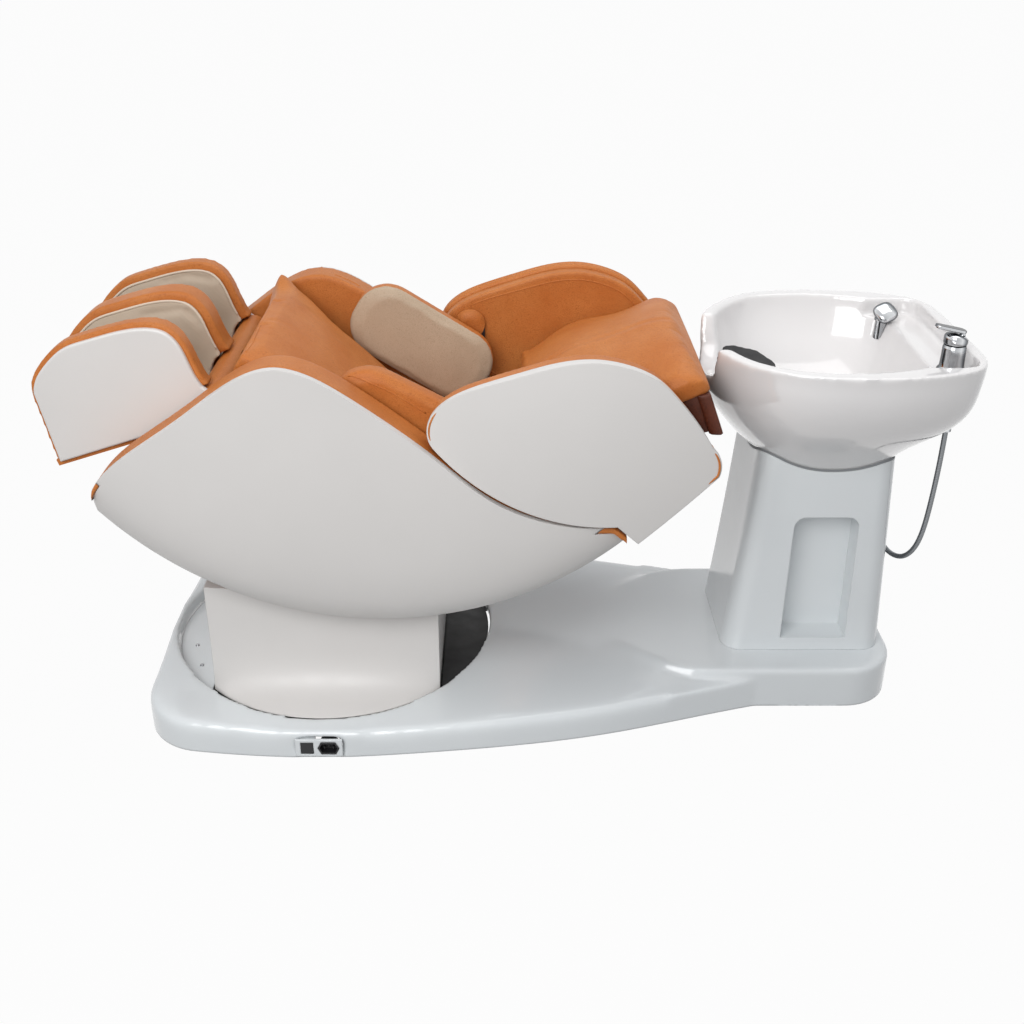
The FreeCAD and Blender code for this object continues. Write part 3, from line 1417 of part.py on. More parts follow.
def pan_solid():
    """The sheet that carries the cushion, pressed to the cushion's underside."""
    sections = []
    for spot, up, half in seat_stations():
        top = spot - up * (mm.seat_cushion_thickness - mm.seat_pan_thickness * 2)
        low = spot - up * (mm.seat_cushion_thickness + mm.seat_pan_thickness)
        wide = min(mm.seat_pan_half_width, half - mm.seat_cushion_draw)
        corners = [low - Y * wide, low + Y * wide, top + Y * wide, top - Y * wide]
        sections.append(Part.makePolygon(corners + corners[:1]))
    pan = Part.makeLoft(sections, True, False).cut(cushion_solid())
    return max(pan.Solids, key=lambda solid: solid.Volume)


def cross_tube_spots():
    """Middles of the two tubes that carry the seat pan, under it near the knees and the hips."""
    stations = seat_stations()
    spots = []
    for share in CROSS_TUBE_SHARES:
        place_along = share * (len(stations) - 1)
        index = min(int(place_along), len(stations) - 2)
        rest = place_along - index
        first, second = stations[index], stations[index + 1]
        spot = first[0] + (second[0] - first[0]) * rest
        up = (first[1] + (second[1] - first[1]) * rest).normalize()
        down = mm.seat_cushion_thickness + mm.seat_pan_thickness + mm.saddle_drop + mm.cross_tube_radius
        spots.append(spot - up * down)
    return spots


def drive_path(name):
    """The pivot of a driven body, the pin's rest and moved places on it, and the actuator's sense."""
    if name == "back":
        pivot, turn, sense = BACK_PIVOT, mm.recline_range, 1
        rest = pivot + at_xz(mm.back_drive_dx, mm.back_drive_dz)
    elif name == "leg":
        pivot, turn, sense = LEG_PIVOT, mm.leg_range, -1
        angle = math.radians(mm.leg_drive_angle)
        rest = pivot + at_xz(math.cos(angle), math.sin(angle)) * mm.leg_drive_arm
    else:
        pivot, turn, sense = TILT_PIVOT, mm.tilt_range, -1
        rest = pivot + at_xz(mm.tilt_drive_dx, mm.tilt_drive_dz)
    return pivot, rest, turned_about_y(rest, pivot, turn), sense


def drive_line(name):
    """The middle of the pin's slot at rest, and the direction in which the actuator pushes it."""
    pivot, rest, moved, sense = drive_path(name)
    chord = (moved - rest) * 0.5
    outwards = (rest + chord - pivot).normalize()
    return rest + outwards * (drive_bow(name) / 2), (moved - rest).normalize() * sense


def drive_bow(name):
    """How far the pin's round path bows out past its straight chord."""
    pivot, rest, moved, _ = drive_path(name)
    radius = (rest - pivot).Length
    half_chord = (moved - rest).Length / 2
    return radius - math.sqrt(radius ** 2 - half_chord ** 2)


def drive_mount(name):
    lengths = {"back": mm.back_actuator_length, "leg": mm.leg_actuator_length, "tilt": mm.tilt_actuator_length}
    middle, forward = drive_line(name)
    return middle - forward * lengths[name]


def frame_tube_spots():
    return cross_tube_spots() + [drive_mount("back"), drive_mount("leg")]


def pan_saddle(spot):
    """A block on a cross tube, cut to the underside of the seat pan."""
    half = mm.saddle_half_width
    side = mm.cross_tube_radius
    block = Part.makeBox(side * 2, half * 2, side * 3.5, Vector(spot.x - side, -half, spot.z))
    block = block.cut(pan_solid()).cut(cushion_solid())
    return min(block.Solids, key=lambda solid: solid.CenterOfMass.z)


def cross_tube(spot):
    end = mm.plate_inner_y + mm.plate_thickness / 2
    return Part.makeCylinder(mm.cross_tube_radius, end * 2, Vector(spot.x, -end, spot.z), Y)


def eared_plate(wire, low_y, high_y, pivot, radius, toward):
    """A side plate with an ear that reaches out to a pivot."""
    plate = prism_y(wire, low_y, high_y)
    boss = Part.makeCylinder(radius, high_y - low_y, Vector(pivot.x, low_y, pivot.z), Y)
    aside = (toward - pivot).cross(Y).normalize() * radius
    corners = [pivot - aside, pivot + aside, toward + aside, toward - aside]
    arm = prism_y(Part.makePolygon(corners + corners[:1]), low_y, high_y)
    return plate.fuse(boss).fuse(arm)


def seat_frame():
    """Two side plates joined by cross tubes, with ears for the pivots and the actuators' mounts."""
    low_y = -mm.plate_inner_y - mm.plate_thickness
    high_y = -mm.plate_inner_y
    wire = inset(side_outline(), mm.plate_inset)
    near = eared_plate(wire, low_y, high_y, BACK_PIVOT, mm.back_ear_radius,
                       at_xz(mm.back_pivot_x, mm.seat_hip_z))
    frame = near.fuse(flipped(near))
    for spot in frame_tube_spots():
        frame = frame.fuse(cross_tube(spot))
    for spot in cross_tube_spots():
        frame = frame.fuse(pan_saddle(spot))
    frame = frame.fuse(drive_ears(drive_path("tilt")[1], cross_tube_spots()[1]))
    reach = mm.plate_inner_y * 2
    frame = frame.cut(Part.makeCylinder(mm.tilt_shaft_radius + mm.running_gap, reach * 2,
                                        TILT_PIVOT - Y * reach, Y))
    back_end = mm.back_plate_inner_y + mm.back_plate_thickness
    leg_start = mm.leg_half_width - mm.leg_panel_thickness * 3
    for pivot, radius, start, end in ((BACK_PIVOT, mm.back_pin_radius, mm.plate_inner_y, back_end),
                                      (LEG_PIVOT, mm.leg_pin_radius, leg_start, -low_y)):
        for sign in (-1, 1):
            frame = frame.fuse(Part.makeCylinder(radius, end - start, pivot + Y * (sign * start), Y * sign))
    return free_form("seat_frame", frame)


def drive_ears(pin_spot, root):
    """Two ears with the pin between them that an actuator's eye pushes on."""
    half = mm.drive_eye_half_width + mm.drive_ear_gap
    radius = mm.drive_pin_radius * 2
    ears = None
    for low_y in (-half - mm.drive_ear_thickness, half):
        boss = Part.makeCylinder(radius, mm.drive_ear_thickness, Vector(pin_spot.x, low_y, pin_spot.z), Y)
        aside = (root - pin_spot).cross(Y).normalize() * radius
        corners = [pin_spot - aside, pin_spot + aside, root + aside, root - aside]
        arm = prism_y(Part.makePolygon(corners + corners[:1]), low_y, low_y + mm.drive_ear_thickness)
        ear = boss.fuse(arm)
        ears = ear if ears is None else ears.fuse(ear)
    pin = Part.makeCylinder(mm.drive_pin_radius, half * 2, Vector(pin_spot.x, -half, pin_spot.z), Y)
    return ears.fuse(pin)


def actuator_body(name, stroke_out):
    """A motor tube with a rear eye on its cross tube, a narrower nose and the bore that its rod slides in."""
    mount = drive_mount(name)
    middle, forward = drive_line(name)
    nose = (middle - mount).Length - stroke_out - mm.drive_pin_radius * 2 - mm.drive_eye_wall - mm.drive_ear_gap
    barrel = nose - mm.actuator_nose_radius
    half = mm.actuator_eye_half_width
    eye_radius = mm.cross_tube_radius + mm.actuator_eye_wall
    shape = Part.makeCylinder(mm.actuator_radius, barrel - mm.cross_tube_radius,
                              mount + forward * mm.cross_tube_radius, forward)
    shape = shape.fuse(Part.makeCylinder(eye_radius, half * 2, mount - Y * half, Y))
    shape = shape.fuse(Part.makeCylinder(mm.actuator_nose_radius, nose - barrel, mount + forward * barrel, forward))
    shape = shape.cut(Part.makeCylinder(mm.cross_tube_radius + mm.running_gap, half * 4, mount - Y * half * 2, Y))
    return free_form(name + "_actuator", shape.cut(
        Part.makeCylinder(mm.actuator_rod_radius + mm.running_gap, nose,
                          mount + forward * (eye_radius + mm.overrun), forward)))


def actuator_rod(name, stroke_out):
    """A rod with a slotted eye; the slot leaves room for the pin's path to bow past the rod's line."""
    mount = drive_mount(name)
    middle, forward = drive_line(name)
    half = mm.drive_eye_half_width
    slot_radius = mm.drive_pin_radius + mm.drive_pin_gap
    eye_radius = slot_radius + mm.drive_eye_wall
    side = forward.cross(Y).normalize() * (drive_bow(name) / 2 + mm.drive_pin_gap)
    eye = long_hole(middle, side, forward, eye_radius, half)
    slot = long_hole(middle, side, forward, slot_radius, half * 2)
    first = mm.cross_tube_radius + mm.actuator_eye_wall + mm.overrun * 2 + stroke_out
    rod = Part.makeCylinder(mm.actuator_rod_radius, (middle - mount).Length - first - slot_radius,
                            mount + forward * first, forward)
    return free_form(name + "_rod", rod.fuse(eye).cut(slot))


def long_hole(middle, side, forward, radius, half):
    """An oblong with round ends, across the rod, of this half width along Y."""
    corners = [middle + side + forward * radius, middle + side - forward * radius,
               middle - side - forward * radius, middle - side + forward * radius]
    shape = prism_y(Part.makePolygon(corners + corners[:1]), -half, half)
    for end in (side, -side):
        shape = shape.fuse(Part.makeCylinder(radius, half * 2, middle + end - Y * half, Y))
    return shape


def arm_outline():
    """A rounded oblong that slopes down towards the basin."""
    half_long, half_tall, corner = mm.arm_length / 2, mm.arm_height / 2, mm.arm_corner
    bend = corner * (1 - math.sqrt(0.5))
    edges = []
    ends = []
    for sx, sz in ((-1, 1), (1, 1), (1, -1), (-1, -1)):
        x, z = sx * half_long, sz * half_tall
        beside = at_xz(x, z - sz * corner)
        above = at_xz(x - sx * corner, z)
        middle = at_xz(x - sx * bend, z - sz * bend)
        ends.append((beside, middle, above) if sx * sz < 0 else (above, middle, beside))
    for index, (first, middle, last) in enumerate(ends):
        edges.append(arc(first, middle, last))
        edges.append(line(last, ends[(index + 1) % 4][0]))
    wire = Part.Wire(edges)
    wire.rotate(Vector(), Y, mm.arm_slope)
    wire.translate(at_xz(mm.arm_x, mm.arm_z))
    return wire


def arm_pad():
    pad_shape = prism_y(arm_outline(), -mm.arm_inner_y - mm.arm_thickness, -mm.arm_inner_y)
    rims = [edge for edge in pad_shape.Edges if edge.BoundBox.YLength < mm.part_gap]
    return pad_shape.makeFillet(mm.arm_edge_round, rims)


def arm_brackets():
    """Stubs that hold each arm pad off the lining."""
    slope = math.radians(mm.arm_slope)
    stubs = []
    start = mm.arm_inner_y + mm.arm_thickness
    for side in (-1, 1):
        for end in (-1, 1):
            step = end * mm.arm_bracket_pitch / 2
            x = mm.arm_x + step * math.cos(slope)
            z = mm.arm_z - step * math.sin(slope) - mm.arm_height / 4
            stubs.append(Part.makeCylinder(mm.arm_bracket_radius, mm.lining_inner_y - start,
                                           Vector(x, side * start, z), Y * side))
    return free_form("arm_brackets", Part.makeCompound(stubs))


def control_box():
    z = drive_mount("back").z + mm.cross_tube_radius
    case = Part.makeBox(mm.control_box_length, mm.control_box_width, mm.control_box_height,
                        Vector(mm.control_box_x, mm.control_box_y, z))
    uprights = [edge for edge in case.Edges if edge.BoundBox.ZLength > mm.control_box_height / 2]
    return free_form("control_box", case.makeFillet(mm.overrun, uprights))


# Back

def wing_spot(share):
    """A place on the wing, as shares of its length from the pivot and its height from its tail."""
    return at_xz(mm.back_pivot_x + share[0] * (mm.wing_right_x - mm.back_pivot_x),
                 mm.wing_tail_z + share[1] * (mm.wing_top_z - mm.wing_tail_z))


def wing_outline():
    """The wing: a round nose about the pivot, a lower edge beside the crescent's, a raised top."""
    gap = mm.wing_gap
    lower = [side_spot(share) for share in SIDE_TOP_SHARES if share[0] > 0.6]
    lower = [at_xz(spot.x + gap * 0.6, spot.z + gap) for spot in lower]
    top = [wing_spot(share) for share in WING_NOSE_SHARES + WING_TOP_SHARES]
    corner = [wing_spot(share) for share in WING_CORNER_SHARES]
    tail = at_xz(wing_spot((WING_TAIL_SHARE, 0)).x, mm.wing_tail_z)
    return Part.Wire([spline([lower[0]] + top), arc(top[-1], corner[0], corner[1]),
                      line(corner[1], tail), line(tail, lower[-1]), spline(list(reversed(lower)))])


def wing_ball(shrink):
    centre = Vector(wing_spot((0.42, 0)).x, -mm.wing_outer_y + mm.wing_crown_radius,
                    (mm.wing_top_z + mm.wing_tail_z) / 2)
    return Part.makeSphere(mm.wing_crown_radius - shrink, centre)


def wing_panel():
    low_y = -mm.wing_outer_y - mm.overrun
    block = prism_y(wing_outline(), low_y, -mm.wing_inner_y).common(wing_ball(0))
    hollow = prism_y(inset(wing_outline(), mm.wing_wall), low_y, 0).common(wing_ball(mm.wing_wall))
    return block.cut(hollow)


def wing_lining():
    """The padded inner face of a wing, bored for the pivot pin and notched for the bars across the back."""
    padding = prism_y(inset(wing_outline(), mm.wing_lining_inset), -mm.back_plate_inner_y, -mm.wing_lining_inner_y)
    padding = padding.cut(Part.makeCylinder(mm.back_pin_radius + mm.part_gap, mm.wing_inner_y,
                                            BACK_PIVOT - Y * mm.wing_inner_y, Y))
    for u in (mm.back_bar_low_u, mm.back_bar_low_u + mm.back_bar_span):
        padding = padding.cut(back_bar(u, mm.part_gap))
    return padding


def back_bar(u, grown=0.0):
    """A square bar across the back, at a distance up the slope."""
    side = mm.back_bar_side + grown * 2
    wide = mm.back_plate_inner_y + mm.back_plate_thickness / 2
    bar = Part.makeBox(side, wide * 2, side, Vector(u - side / 2, -wide, mm.back_bar_w - side / 2))
    bar.Placement = BACK_FRAME.multiply(bar.Placement)
    return bar


def back_frame():
    """Side plates inside the wings, two bars across and the ears of the back's drive pin."""
    low_y = -mm.back_plate_inner_y - mm.back_plate_thickness
    near = prism_y(inset(wing_outline(), mm.back_plate_inset), low_y, -mm.back_plate_inner_y)
    bore = Part.makeCylinder(mm.back_pin_radius + mm.running_gap, mm.back_plate_thickness * 4,
                             Vector(BACK_PIVOT.x, low_y - mm.back_plate_thickness, BACK_PIVOT.z), Y)
    near = near.cut(bore)
    rest = drive_path("back")[1]
    root = BACK_FRAME.multVec(Vector(mm.back_bar_low_u, 0, mm.back_bar_w))
    frame = back_bar(mm.back_bar_low_u)
    for piece in (near, flipped(near), back_bar(mm.back_bar_low_u + mm.back_bar_span), drive_ears(rest, root)):
        frame = frame.fuse(piece)
    return free_form("back_frame", frame)


def back_shell():
    """The rear cover: a sheet that follows the wings' lower edge from the hips to the head end."""
    wide = mm.wing_lining_inner_y
    outer = prism_y(inset(wing_outline(), mm.back_shell_inset), -wide, wide)
    inner = prism_y(inset(wing_outline(), mm.back_shell_inset + mm.back_shell_wall), -wide * 2, wide * 2)
    reach = mm.wing_right_x * 2
    keep = Part.makeBox(reach, reach, reach, Vector(0, -reach / 2, -reach))
    keep.Placement = BACK_FRAME
    keep = keep.copy()
    keep.translate(BACK_FRAME.Rotation.multVec(Vector(0, 0, mm.back_pad_bottom_w - mm.overrun)))
    right_of = Part.makeBox(reach, reach, reach, at_xz(mm.back_shell_left_x, 0, -reach / 2))
    swing = Part.makeCylinder(mm.back_shell_reach, wide * 2, BACK_PIVOT - Y * wide, Y)
    ring = outer.cut(inner).common(keep).common(right_of).common(swing)
    return free_form("back_shell", max(ring.Solids, key=lambda solid: solid.Volume))


def back_cushion():
    sections = []
    bottom = mm.back_pad_bottom_w
    for along, crown_share, width_share in BACK_STATION_SHARES:
        rise = mm.back_pad_edge_w + crown_share * mm.back_pad_crown
        spot = Vector(along * mm.back_pad_length, 0, rise)
        crown = max(crown_share, 0.2) * mm.back_pad_crown
        sections.append(cushion_section(spot, Z, width_share * mm.back_pad_half_width, rise - bottom,
                                        min(crown, (rise - bottom) * 0.75), mm.back_pad_draw))
    thing = free_form("back_cushion", Part.makeLoft(sections, True, False))
    return in_back_frame(thing)


def head_flaps():
    """Two leather ears that hang from the head end beside the neck notch."""
    flaps = []
    for side, low_y in (("near", -size.flap_inner_y - size.flap_width), ("far", size.flap_inner_y)):
        flaps.append(box("head_flap_" + side, (size.flap_u, low_y, size.back_pad_bottom_w - size.flap_drop),
                         (size.flap_thickness, size.flap_width, size.flap_drop)))
    return in_back_frame(group("head_flaps", *flaps))


def massage_rails():
    start = size.back_bar_low_u + size.back_bar_side / 2
    length = size.back_bar_span - size.back_bar_side
    rods = [cylinder("massage_rail_" + side, (start, size.rail_rod_y * sign, size.back_bar_w),
                     size.rail_rod_radius, length, "x") for side, sign in (("near", -1), ("far", 1))]
    return in_back_frame(group("massage_rails", *rods))


def massage_carriage():
    half = size.carriage_length / 2
    cheek = size.carriage_cheek_width
    outer = size.rail_rod_y + cheek / 2
    start = size.carriage_u - half
    floor_w = size.carriage_floor_w
    pieces = [box("carriage_floor_sheet", (start, -outer, floor_w), (half * 2, outer * 2, size.carriage_floor))]
    top = size.back_bar_w + size.rail_rod_radius * 2
    bores = []
    for side, sign in (("near", -1), ("far", 1)):
        low_y = size.rail_rod_y * sign - cheek / 2
        pieces.append(box("carriage_cheek_" + side, (start, low_y, floor_w), (half * 2, cheek, top - floor_w)))
        bores.append(cylinder("rail_bore_" + side, (start - size.overrun, size.rail_rod_y * sign, size.back_bar_w),
                              size.rail_rod_radius + size.running_gap, half * 2 + size.overrun * 2, "x"))
    for index, sign in enumerate((-1, 1)):
        bores.append(cylinder("axle_bore_%d" % index,
                              (size.carriage_u + size.roller_pitch * sign / 2, -outer, size.roller_w),
                              size.roller_axle_radius + size.running_gap, outer * 2, "y"))
    return in_back_frame(cut("massage_carriage", fuse("carriage_welded", *pieces),
                             fuse("carriage_bores", *bores)))


def roller_pair(label, sign):
    """Two massage rollers on one axle."""
    axle = size.roller_axle_radius
    end = size.rail_rod_y - size.part_gap
    radius = size.roller_radius
    soft = radius - size.roller_round
    inner = size.roller_y - size.roller_width / 2
    outer = size.roller_y + size.roller_width / 2
    step = size.roller_round / 2
    body = turned(label, ((0, -end), (axle, -end), (axle, -outer), (soft, -outer), (radius, step - outer),
                          (radius, -inner - step), (soft, -inner), (axle, -inner), (axle, inner), (soft, inner),
                          (radius, inner + step), (radius, outer - step), (soft, outer), (axle, outer),
                          (axle, end), (0, end)))
    u = mm.carriage_u + mm.roller_pitch * sign / 2
    spot = BACK_FRAME.multVec(Vector(u, 0, mm.roller_w))
    body.Placement = Placement(spot, ALONG["y"])
    return body


# Leg rest

def leg_spot(share):
    return at_xz(mm.leg_left_x + share[0] * (mm.leg_pivot_x - mm.leg_left_x),
                 mm.leg_toe_z + share[1] * (mm.leg_top_z - mm.leg_toe_z))


def leg_outline():
    """The leg rest from the side: a humped top, a blunt foot end and a round end about the pivot."""
    top = [leg_spot(share) for share in LEG_TOP_SHARES]
    toe = at_xz(mm.leg_toe_x, mm.leg_toe_z)
    radius = mm.leg_end_radius
    right = LEG_PIVOT + at_xz(radius, 0)
    diagonal = math.sqrt(0.5) * radius
    upper = LEG_PIVOT + at_xz(diagonal, diagonal)
    lower = LEG_PIVOT + at_xz(diagonal, -diagonal)
    heel = LEG_PIVOT + at_xz(0, -radius)
    return Part.Wire([spline(top), line(top[-1], upper), arc(upper, right, lower), line(lower, heel),
                      line(heel, toe), line(toe, top[0])])


def leg_floor_strip(low, high):
    """The part of the leg rest's side outline between two heights above its underside."""
    heel = LEG_PIVOT - at_xz(0, mm.leg_end_radius)
    toe = at_xz(mm.leg_toe_x, mm.leg_toe_z)
    up = Vector(-(heel - toe).z, 0, (heel - toe).x).normalize()
    corners = [toe + up * low, heel + up * low, heel + up * high, toe + up * high]
    return Part.makePolygon(corners + corners[:1])


def leg_panel():
    """The white outer panel of the leg rest, softly crowned."""
    low_y = -mm.leg_half_width
    high_y = low_y + mm.leg_panel_thickness
    block = prism_y(inset(leg_outline(), mm.leg_panel_bulge), low_y, high_y)
    rims = [edge for edge in block.Edges if abs(edge.BoundBox.YMax - low_y) < mm.part_gap]
    block = block.makeFillet(mm.leg_panel_thickness * 0.35, rims)
    return block.cut(Part.makeCylinder(mm.leg_pin_radius + mm.part_gap, mm.leg_half_width * 2,
                                       LEG_PIVOT - Y * mm.leg_half_width * 2, Y))


def leg_walls():
    """Three padded walls: near, middle and far, standing on the leg frame's board."""
    outer = mm.leg_half_width - mm.leg_panel_thickness
    thick = mm.leg_wall_thickness
    near = prism_y(leg_outline(), -outer, -outer + thick)
    middle = prism_y(leg_outline(), -mm.leg_mid_half_width, mm.leg_mid_half_width)
    board = prism_y(leg_floor_strip(-mm.overrun, mm.leg_floor), -outer * 2, outer * 2)
    hub = Part.makeCylinder(mm.leg_end_radius + mm.overrun, outer * 4, LEG_PIVOT - Y * outer * 2, Y)
    rest = drive_path("leg")[1]
    room = mm.drive_eye_half_width + mm.drive_ear_gap * 2 + mm.drive_ear_thickness
    pocket = Part.makeBox(mm.leg_end_radius * 5, room * 2, mm.leg_end_radius * 5,
                          Vector(rest.x - mm.leg_end_radius, -room, rest.z - mm.leg_end_radius * 3.2))
    walls = [wall.cut(board).cut(hub).cut(pocket) for wall in (near, middle, flipped(near))]
    return free_form("leg_walls", Part.makeCompound([wall.Solids[0] for wall in walls]))


def leg_frame():
    """The board under the walls, the hinge tube across it and the ears of the leg's drive pin."""
    outer = mm.leg_half_width - mm.leg_panel_thickness
    board = prism_y(leg_floor_strip(0, mm.leg_floor), -outer, outer)
    half = mm.drive_eye_half_width + mm.drive_ear_gap
    _, rest, moved, _ = drive_path("leg")
    slot = Part.makeBox((moved - rest).Length * 3, half * 2, mm.leg_end_radius * 4,
                        Vector(rest.x - mm.leg_end_radius, -half, rest.z - mm.leg_end_radius * 2))
    hub = Part.makeCylinder(mm.leg_end_radius, outer * 2, LEG_PIVOT - Y * outer, Y)
    bore = Part.makeCylinder(mm.leg_pin_radius + mm.running_gap, outer * 4, LEG_PIVOT - Y * outer * 2, Y)
    ears = drive_ears(rest, LEG_PIVOT - at_xz(mm.leg_end_radius * 0.3, 0))
    return free_form("leg_frame", board.fuse(hub).cut(slot).fuse(ears.cut(bore)).cut(bore))


def trough_linings():
    """Two fabric troughs between the walls, open at both ends."""
    outer = mm.leg_half_width - mm.leg_panel_thickness - mm.leg_wall_thickness
    inner = mm.leg_mid_half_width
    rim = prism_y(inset(leg_outline(), mm.trough_rim_inset), -outer, -inner)
    rim = rim.cut(prism_y(leg_floor_strip(-mm.leg_half_width, mm.leg_floor), -outer * 2, outer))
    heel = LEG_PIVOT - at_xz(0, mm.leg_end_radius)
    toe = at_xz(mm.leg_toe_x, mm.leg_toe_z)
    along = (heel - toe).normalize()
    up = Vector(-along.z, 0, along.x)
    radius = (outer - inner) / 2 - mm.trough_lining
    middle = -(outer + inner) / 2
    start = toe - along * mm.leg_half_width + up * (mm.leg_floor + mm.trough_lining + radius) + Y * middle
    reach = mm.leg_half_width * 4
    groove = Part.makeCylinder(radius, reach, start, along)
    slab_corners = [start - Y * radius, start + Y * radius,
                    start + Y * radius + up * reach, start - Y * radius + up * reach]
    slab = Part.Face(Part.makePolygon(slab_corners + slab_corners[:1])).extrude(along * reach)
    hub = Part.makeCylinder(mm.leg_end_radius + mm.overrun, outer * 4, LEG_PIVOT - Y * outer * 2, Y)
    near = rim.cut(groove.fuse(slab)).cut(hub)
    near = max(near.Solids, key=lambda solid: solid.Volume)
    return free_form("trough_linings", Part.makeCompound([near, flipped(near)]))


def near_and_far(label, shape):
    return [free_form(label + "_near", shape), free_form(label + "_far", flipped(shape))]


def actuators():
    """The three actuators and their rods; those that pull in are drawn out at rest."""
    made = []
    for name in ("back", "leg", "tilt"):
        _, rest, moved, sense = drive_path(name)
        stroke = (moved - rest).Length
        stroke_out = stroke if sense < 0 else 0.0
        made += [actuator_body(name, stroke_out), actuator_rod(name, stroke_out)]
        print(name, "stroke", round(stroke, 3), "pin", rest, "towards", ((moved - rest) / stroke))
    return made


def build():
    nodes = [base_plinth(), base_frame(), levelling_feet(), recess_plate(), recess_plate_screws(),
             pedestal_cover(), pedestal_frame(), tilt_shaft(), power_inlet_plate(), inlet_socket(),
             power_rocker(), column_shell(), column_post(), basin_gasket(), basin(), neck_rest(),
             drain_flange(), hair_strainer(), drain_pipe(), mixer_body(), mixer_cap(), mixer_lever(),
             handset_socket(), handset(), mixer_hose(), hose_unions()]
    nodes += near_and_far("side_shell", side_shell())
    nodes += near_and_far("side_lining", side_lining())
    nodes += [seat_frame(), free_form("seat_pan", pan_solid()), free_form("seat_cushion", cushion_solid()),
              arm_brackets(), control_box()]
    nodes += near_and_far("arm_pad", arm_pad())
    nodes += actuators()
    nodes += near_and_far("wing", wing_panel())
    nodes += near_and_far("wing_lining", wing_lining())
    nodes += [back_frame(), back_shell(), back_cushion(), head_flaps(), massage_rails(), massage_carriage(),
              roller_pair("lower_rollers", -1), roller_pair("upper_rollers", 1)]
    nodes += near_and_far("leg_panel", leg_panel())
    nodes += [leg_walls(), leg_frame(), trough_linings()]
    return nodes


def check(nodes):
    faults = [thing.Label for thing in doc.Objects if "Invalid" in thing.State or "Error" in thing.State]
    for node in nodes:
        if node.Shape.isNull() or not node.Shape.isValid() or not node.Shape.Solids:
            faults.append(node.Label)
    if faults:
        raise RuntimeError("bad objects: " + ", ".join(faults))


parts = build()
doc.recompute()
check(parts)
os.makedirs("parts", exist_ok=True)
for part in parts:
    part.Shape.exportStep(os.path.join("parts", part.Label + ".step"))
print(len(parts), "sub-parts written")
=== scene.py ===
"""A massage shampoo chair: a leather recliner with leg troughs, and a ceramic basin on a moulded base."""
import math

import bmesh
import bpy
import numpy as np
from mathutils import Matrix, Vector
from mathutils.bvhtree import BVHTree


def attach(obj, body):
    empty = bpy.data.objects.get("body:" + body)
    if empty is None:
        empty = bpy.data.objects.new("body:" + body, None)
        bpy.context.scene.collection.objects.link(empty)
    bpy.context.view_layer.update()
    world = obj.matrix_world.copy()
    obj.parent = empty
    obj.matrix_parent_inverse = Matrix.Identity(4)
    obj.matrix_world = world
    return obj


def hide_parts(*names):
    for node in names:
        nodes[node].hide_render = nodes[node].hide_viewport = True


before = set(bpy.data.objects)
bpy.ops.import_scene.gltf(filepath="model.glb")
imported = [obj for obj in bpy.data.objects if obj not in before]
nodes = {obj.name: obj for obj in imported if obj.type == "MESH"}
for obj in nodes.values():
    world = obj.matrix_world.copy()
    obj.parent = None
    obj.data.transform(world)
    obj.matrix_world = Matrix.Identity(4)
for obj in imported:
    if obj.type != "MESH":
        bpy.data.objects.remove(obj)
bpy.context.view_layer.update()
scene = bpy.context.scene
scene.view_settings.view_transform = "Standard"
bpy.ops.object.select_all(action="DESELECT")
MM = 0.001


# The camera stands in front of the near side and looks down on the chair

LOOK_DOWN = 26.95
lens = bpy.data.cameras.new("photo_lens")
lens.lens = 42.40
lens.sensor_width = 36.0
lens.shift_x = 0.0082
camera = bpy.data.objects.new("photo_camera", lens)
camera.location = (-0.019, -2.562, 1.690)
camera.rotation_euler = (math.radians(90 - LOOK_DOWN), 0, 0)
scene.collection.objects.link(camera)
scene.camera = camera


# Materials

def linear(code):
    """A colour written as sRGB hex, in the linear values that a shader takes."""
    parts = [int(code[i:i + 2], 16) / 255 for i in (1, 3, 5)]
    return tuple(c / 12.92 if c <= 0.04045 else ((c + 0.055) / 1.055) ** 2.4 for c in parts) + (1.0,)


def add(tree, kind, inputs=None, **settings):
    """One node with its settings. An input is a value, or the socket that it is linked from."""
    made = tree.nodes.new(kind)
    for key, value in settings.items():
        setattr(made, key, value)
    for key, value in (inputs or {}).items():
        if isinstance(value, bpy.types.NodeSocket):
            tree.links.new(value, made.inputs[key])
        else:
            made.inputs[key].default_value = value
    return made


def new_material(name):
    """An empty material, and the object coordinates that its patterns follow."""
    material = bpy.data.materials.new(name)
    material.use_nodes = True
    material.node_tree.nodes.clear()
    return material, material.node_tree, add(material.node_tree, "ShaderNodeTexCoord").outputs["Object"]


def finish_material(material, shader):
    tree = material.node_tree
    add(tree, "ShaderNodeOutputMaterial", {"Surface": shader.outputs[0]})
    return material


def per_mm(size):
    """The scale of a texture whose features are this many millimetres wide."""
    return 1000.0 / size


